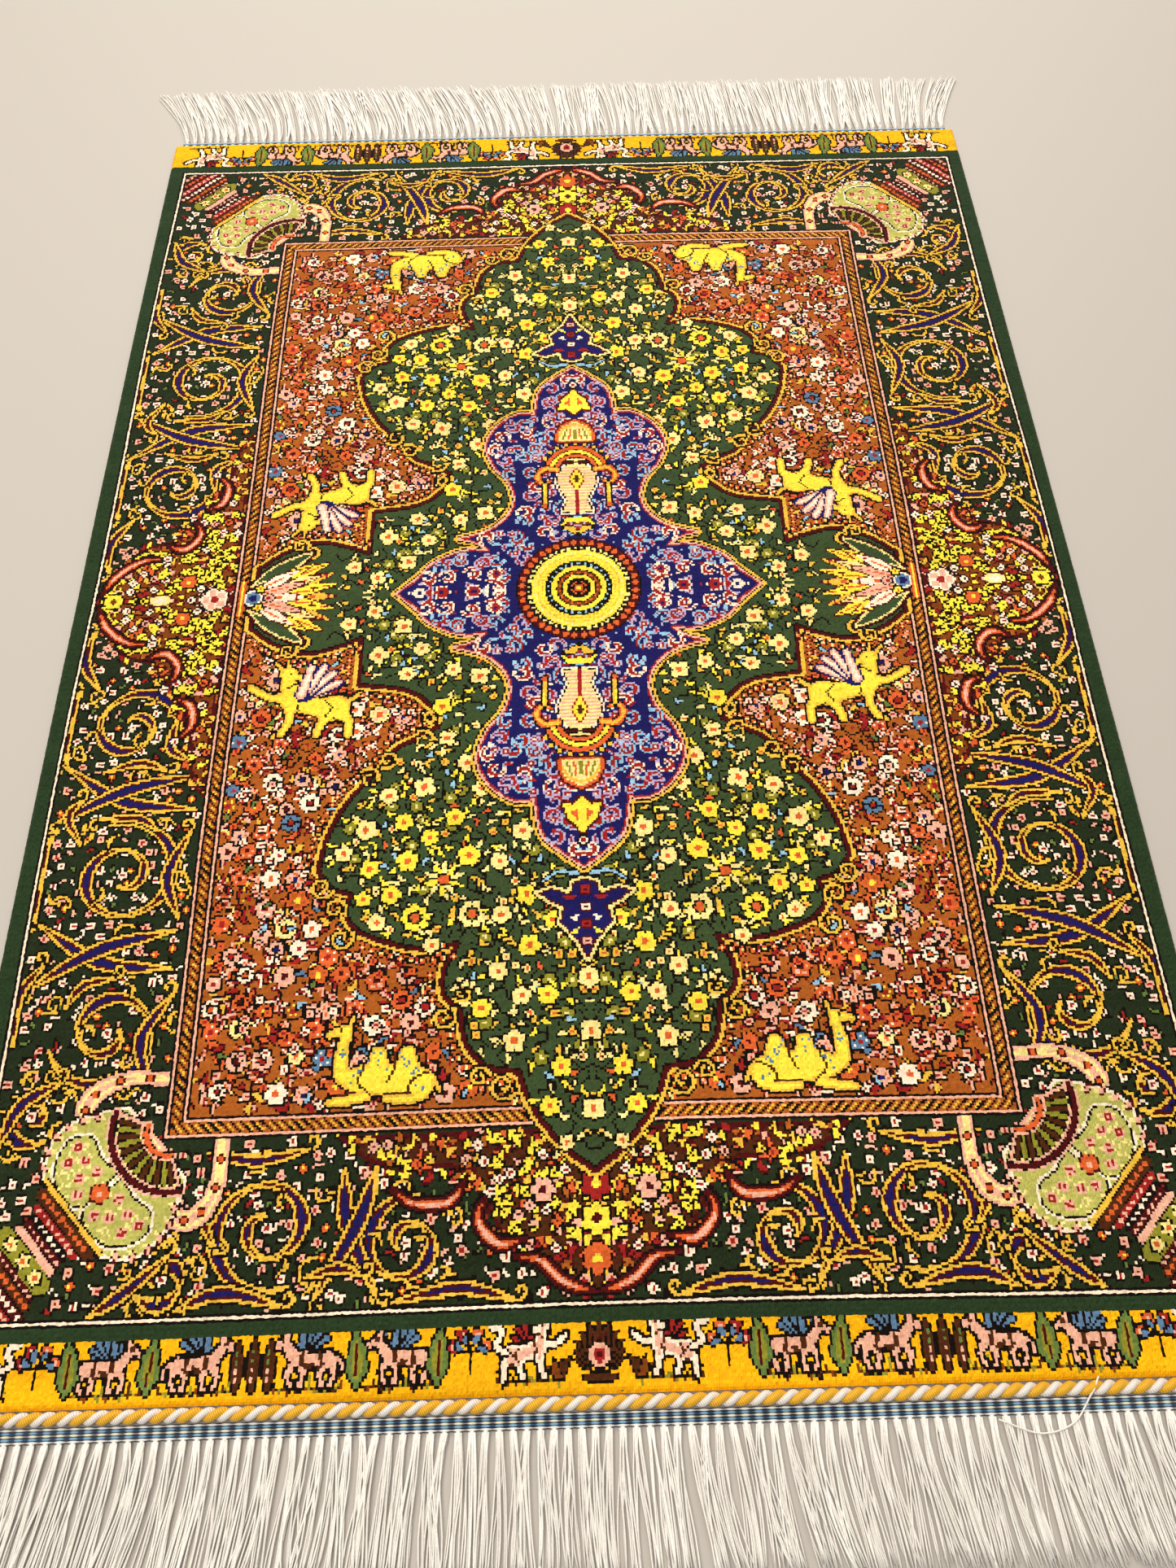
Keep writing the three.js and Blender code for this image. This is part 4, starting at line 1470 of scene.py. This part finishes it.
def set_camera():
    ahead = Vector((
        math.sin(CAMERA_AZIMUTH) * math.cos(CAMERA_TILT),
        math.cos(CAMERA_AZIMUTH) * math.cos(CAMERA_TILT),
        -math.sin(CAMERA_TILT),
    ))
    level = Vector((math.cos(CAMERA_AZIMUTH), -math.sin(CAMERA_AZIMUTH), 0.0))
    above = level.cross(ahead)
    right = level * math.cos(CAMERA_ROLL) + above * math.sin(CAMERA_ROLL)
    up = above * math.cos(CAMERA_ROLL) - level * math.sin(CAMERA_ROLL)
    lens = bpy.data.cameras.new("camera")
    lens.sensor_width = 36.0
    lens.lens = lens.sensor_width * FOCAL_PIXELS / max(PHOTO_WIDTH, PHOTO_HEIGHT)
    lens.clip_start = 0.01
    camera = bpy.data.objects.new("camera", lens)
    bpy.context.scene.collection.objects.link(camera)
    camera.matrix_world = Matrix((
        (right.x, up.x, -ahead.x, CAMERA_PLACE[0]),
        (right.y, up.y, -ahead.y, CAMERA_PLACE[1]),
        (right.z, up.z, -ahead.z, CAMERA_PLACE[2]),
        (0, 0, 0, 1),
    ))
    bpy.context.scene.camera = camera


def lay_floor():
    bm = bmesh.new()
    bmesh.ops.create_grid(bm, x_segments=1, y_segments=1, size=4.0)
    bmesh.ops.translate(bm, vec=(0, 0, -0.0002), verts=bm.verts[:])
    mesh = mesh_from(bm, "floor")
    material, _, _, shader = material_with_shader("pale_floor")
    with_inputs(shader, {"Base Color": (0.50, 0.455, 0.40, 1.0), "Roughness": 0.6})
    mesh.materials.append(material)
    floor = bpy.data.objects.new("floor", mesh)
    bpy.context.scene.collection.objects.link(floor)


def area_light(name, place, aim, size, watts, colour):
    light = bpy.data.lights.new(name, "AREA")
    light.shape = "RECTANGLE"
    light.size, light.size_y = size
    light.energy = watts
    light.color = colour
    lamp = bpy.data.objects.new(name, light)
    lamp.location = place
    lamp.rotation_euler = (Vector(aim) - Vector(place)).to_track_quat("-Z", "Y").to_euler()
    bpy.context.scene.collection.objects.link(lamp)


def light_studio():
    area_light("far_window", (0.1, 1.9, 1.5), (0, 0.2, 0), (2.2, 1.4), 40.0, (1.0, 0.95, 0.88))
    area_light("overhead", (-0.5, -0.1, 2.0), (0, 0, 0), (1.6, 1.6), 31.0, (1.0, 0.96, 0.9))
    world = bpy.data.worlds.new("studio")
    world.use_nodes = True
    with_inputs(world.node_tree.nodes["Background"], {"Color": (1.0, 0.97, 0.94, 1.0), "Strength": 0.4})
    bpy.context.scene.world = world
    bpy.context.scene.view_settings.view_transform = "Standard"


# Selvedge wraps: painted shade in the hollows between them, then their green on the crests.
SELVEDGE_HOLLOW_SHADE_AND_CREST = ((0.015, 0.04, 0.014), (0.05, 0.10, 0.045))
CORD_HOLLOW_SHADE_AND_CREST = {
    # ply: (painted shade in the hollows, the ply's colour on the crests)
    "cord_ply_yellow": ((0.62, 0.29, 0.0), (0.92, 0.50, 0.0)),
    "cord_ply_white": ((0.70, 0.62, 0.54), (0.90, 0.86, 0.80)),
}


def main():
    set_camera()
    lay_floor()
    light_studio()
    pile = silk_pile_material()
    places = pile_places()
    colours = knot_colours(draw_quarter())
    zones = [pile_zone(name, zone, places, colours, pile) for name, zone in PILE_ZONES.items()]
    selvedge = banded_material("selvedge", *SELVEDGE_HOLLOW_SHADE_AND_CREST, (0, 0, math.pi / 2), 400.0, 0.6)
    ground = foundation(selvedge)
    for name, (radius, offset, start) in PLIES.items():
        silk = banded_material(name, *CORD_HOLLOW_SHADE_AND_CREST[name], (0, 0, math.radians(-31)), 330.0, 0.42)
        cord_ply(name, radius, offset, start, silk)
    warp = thread_material("fringe_silk", 0.45)
    yarn = thread_material("heading_yarn", 0.5)
    trims = []
    for end in ENDS:
        trims += [heading(end, yarn), fringe(end, warp)]


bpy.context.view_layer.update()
main()
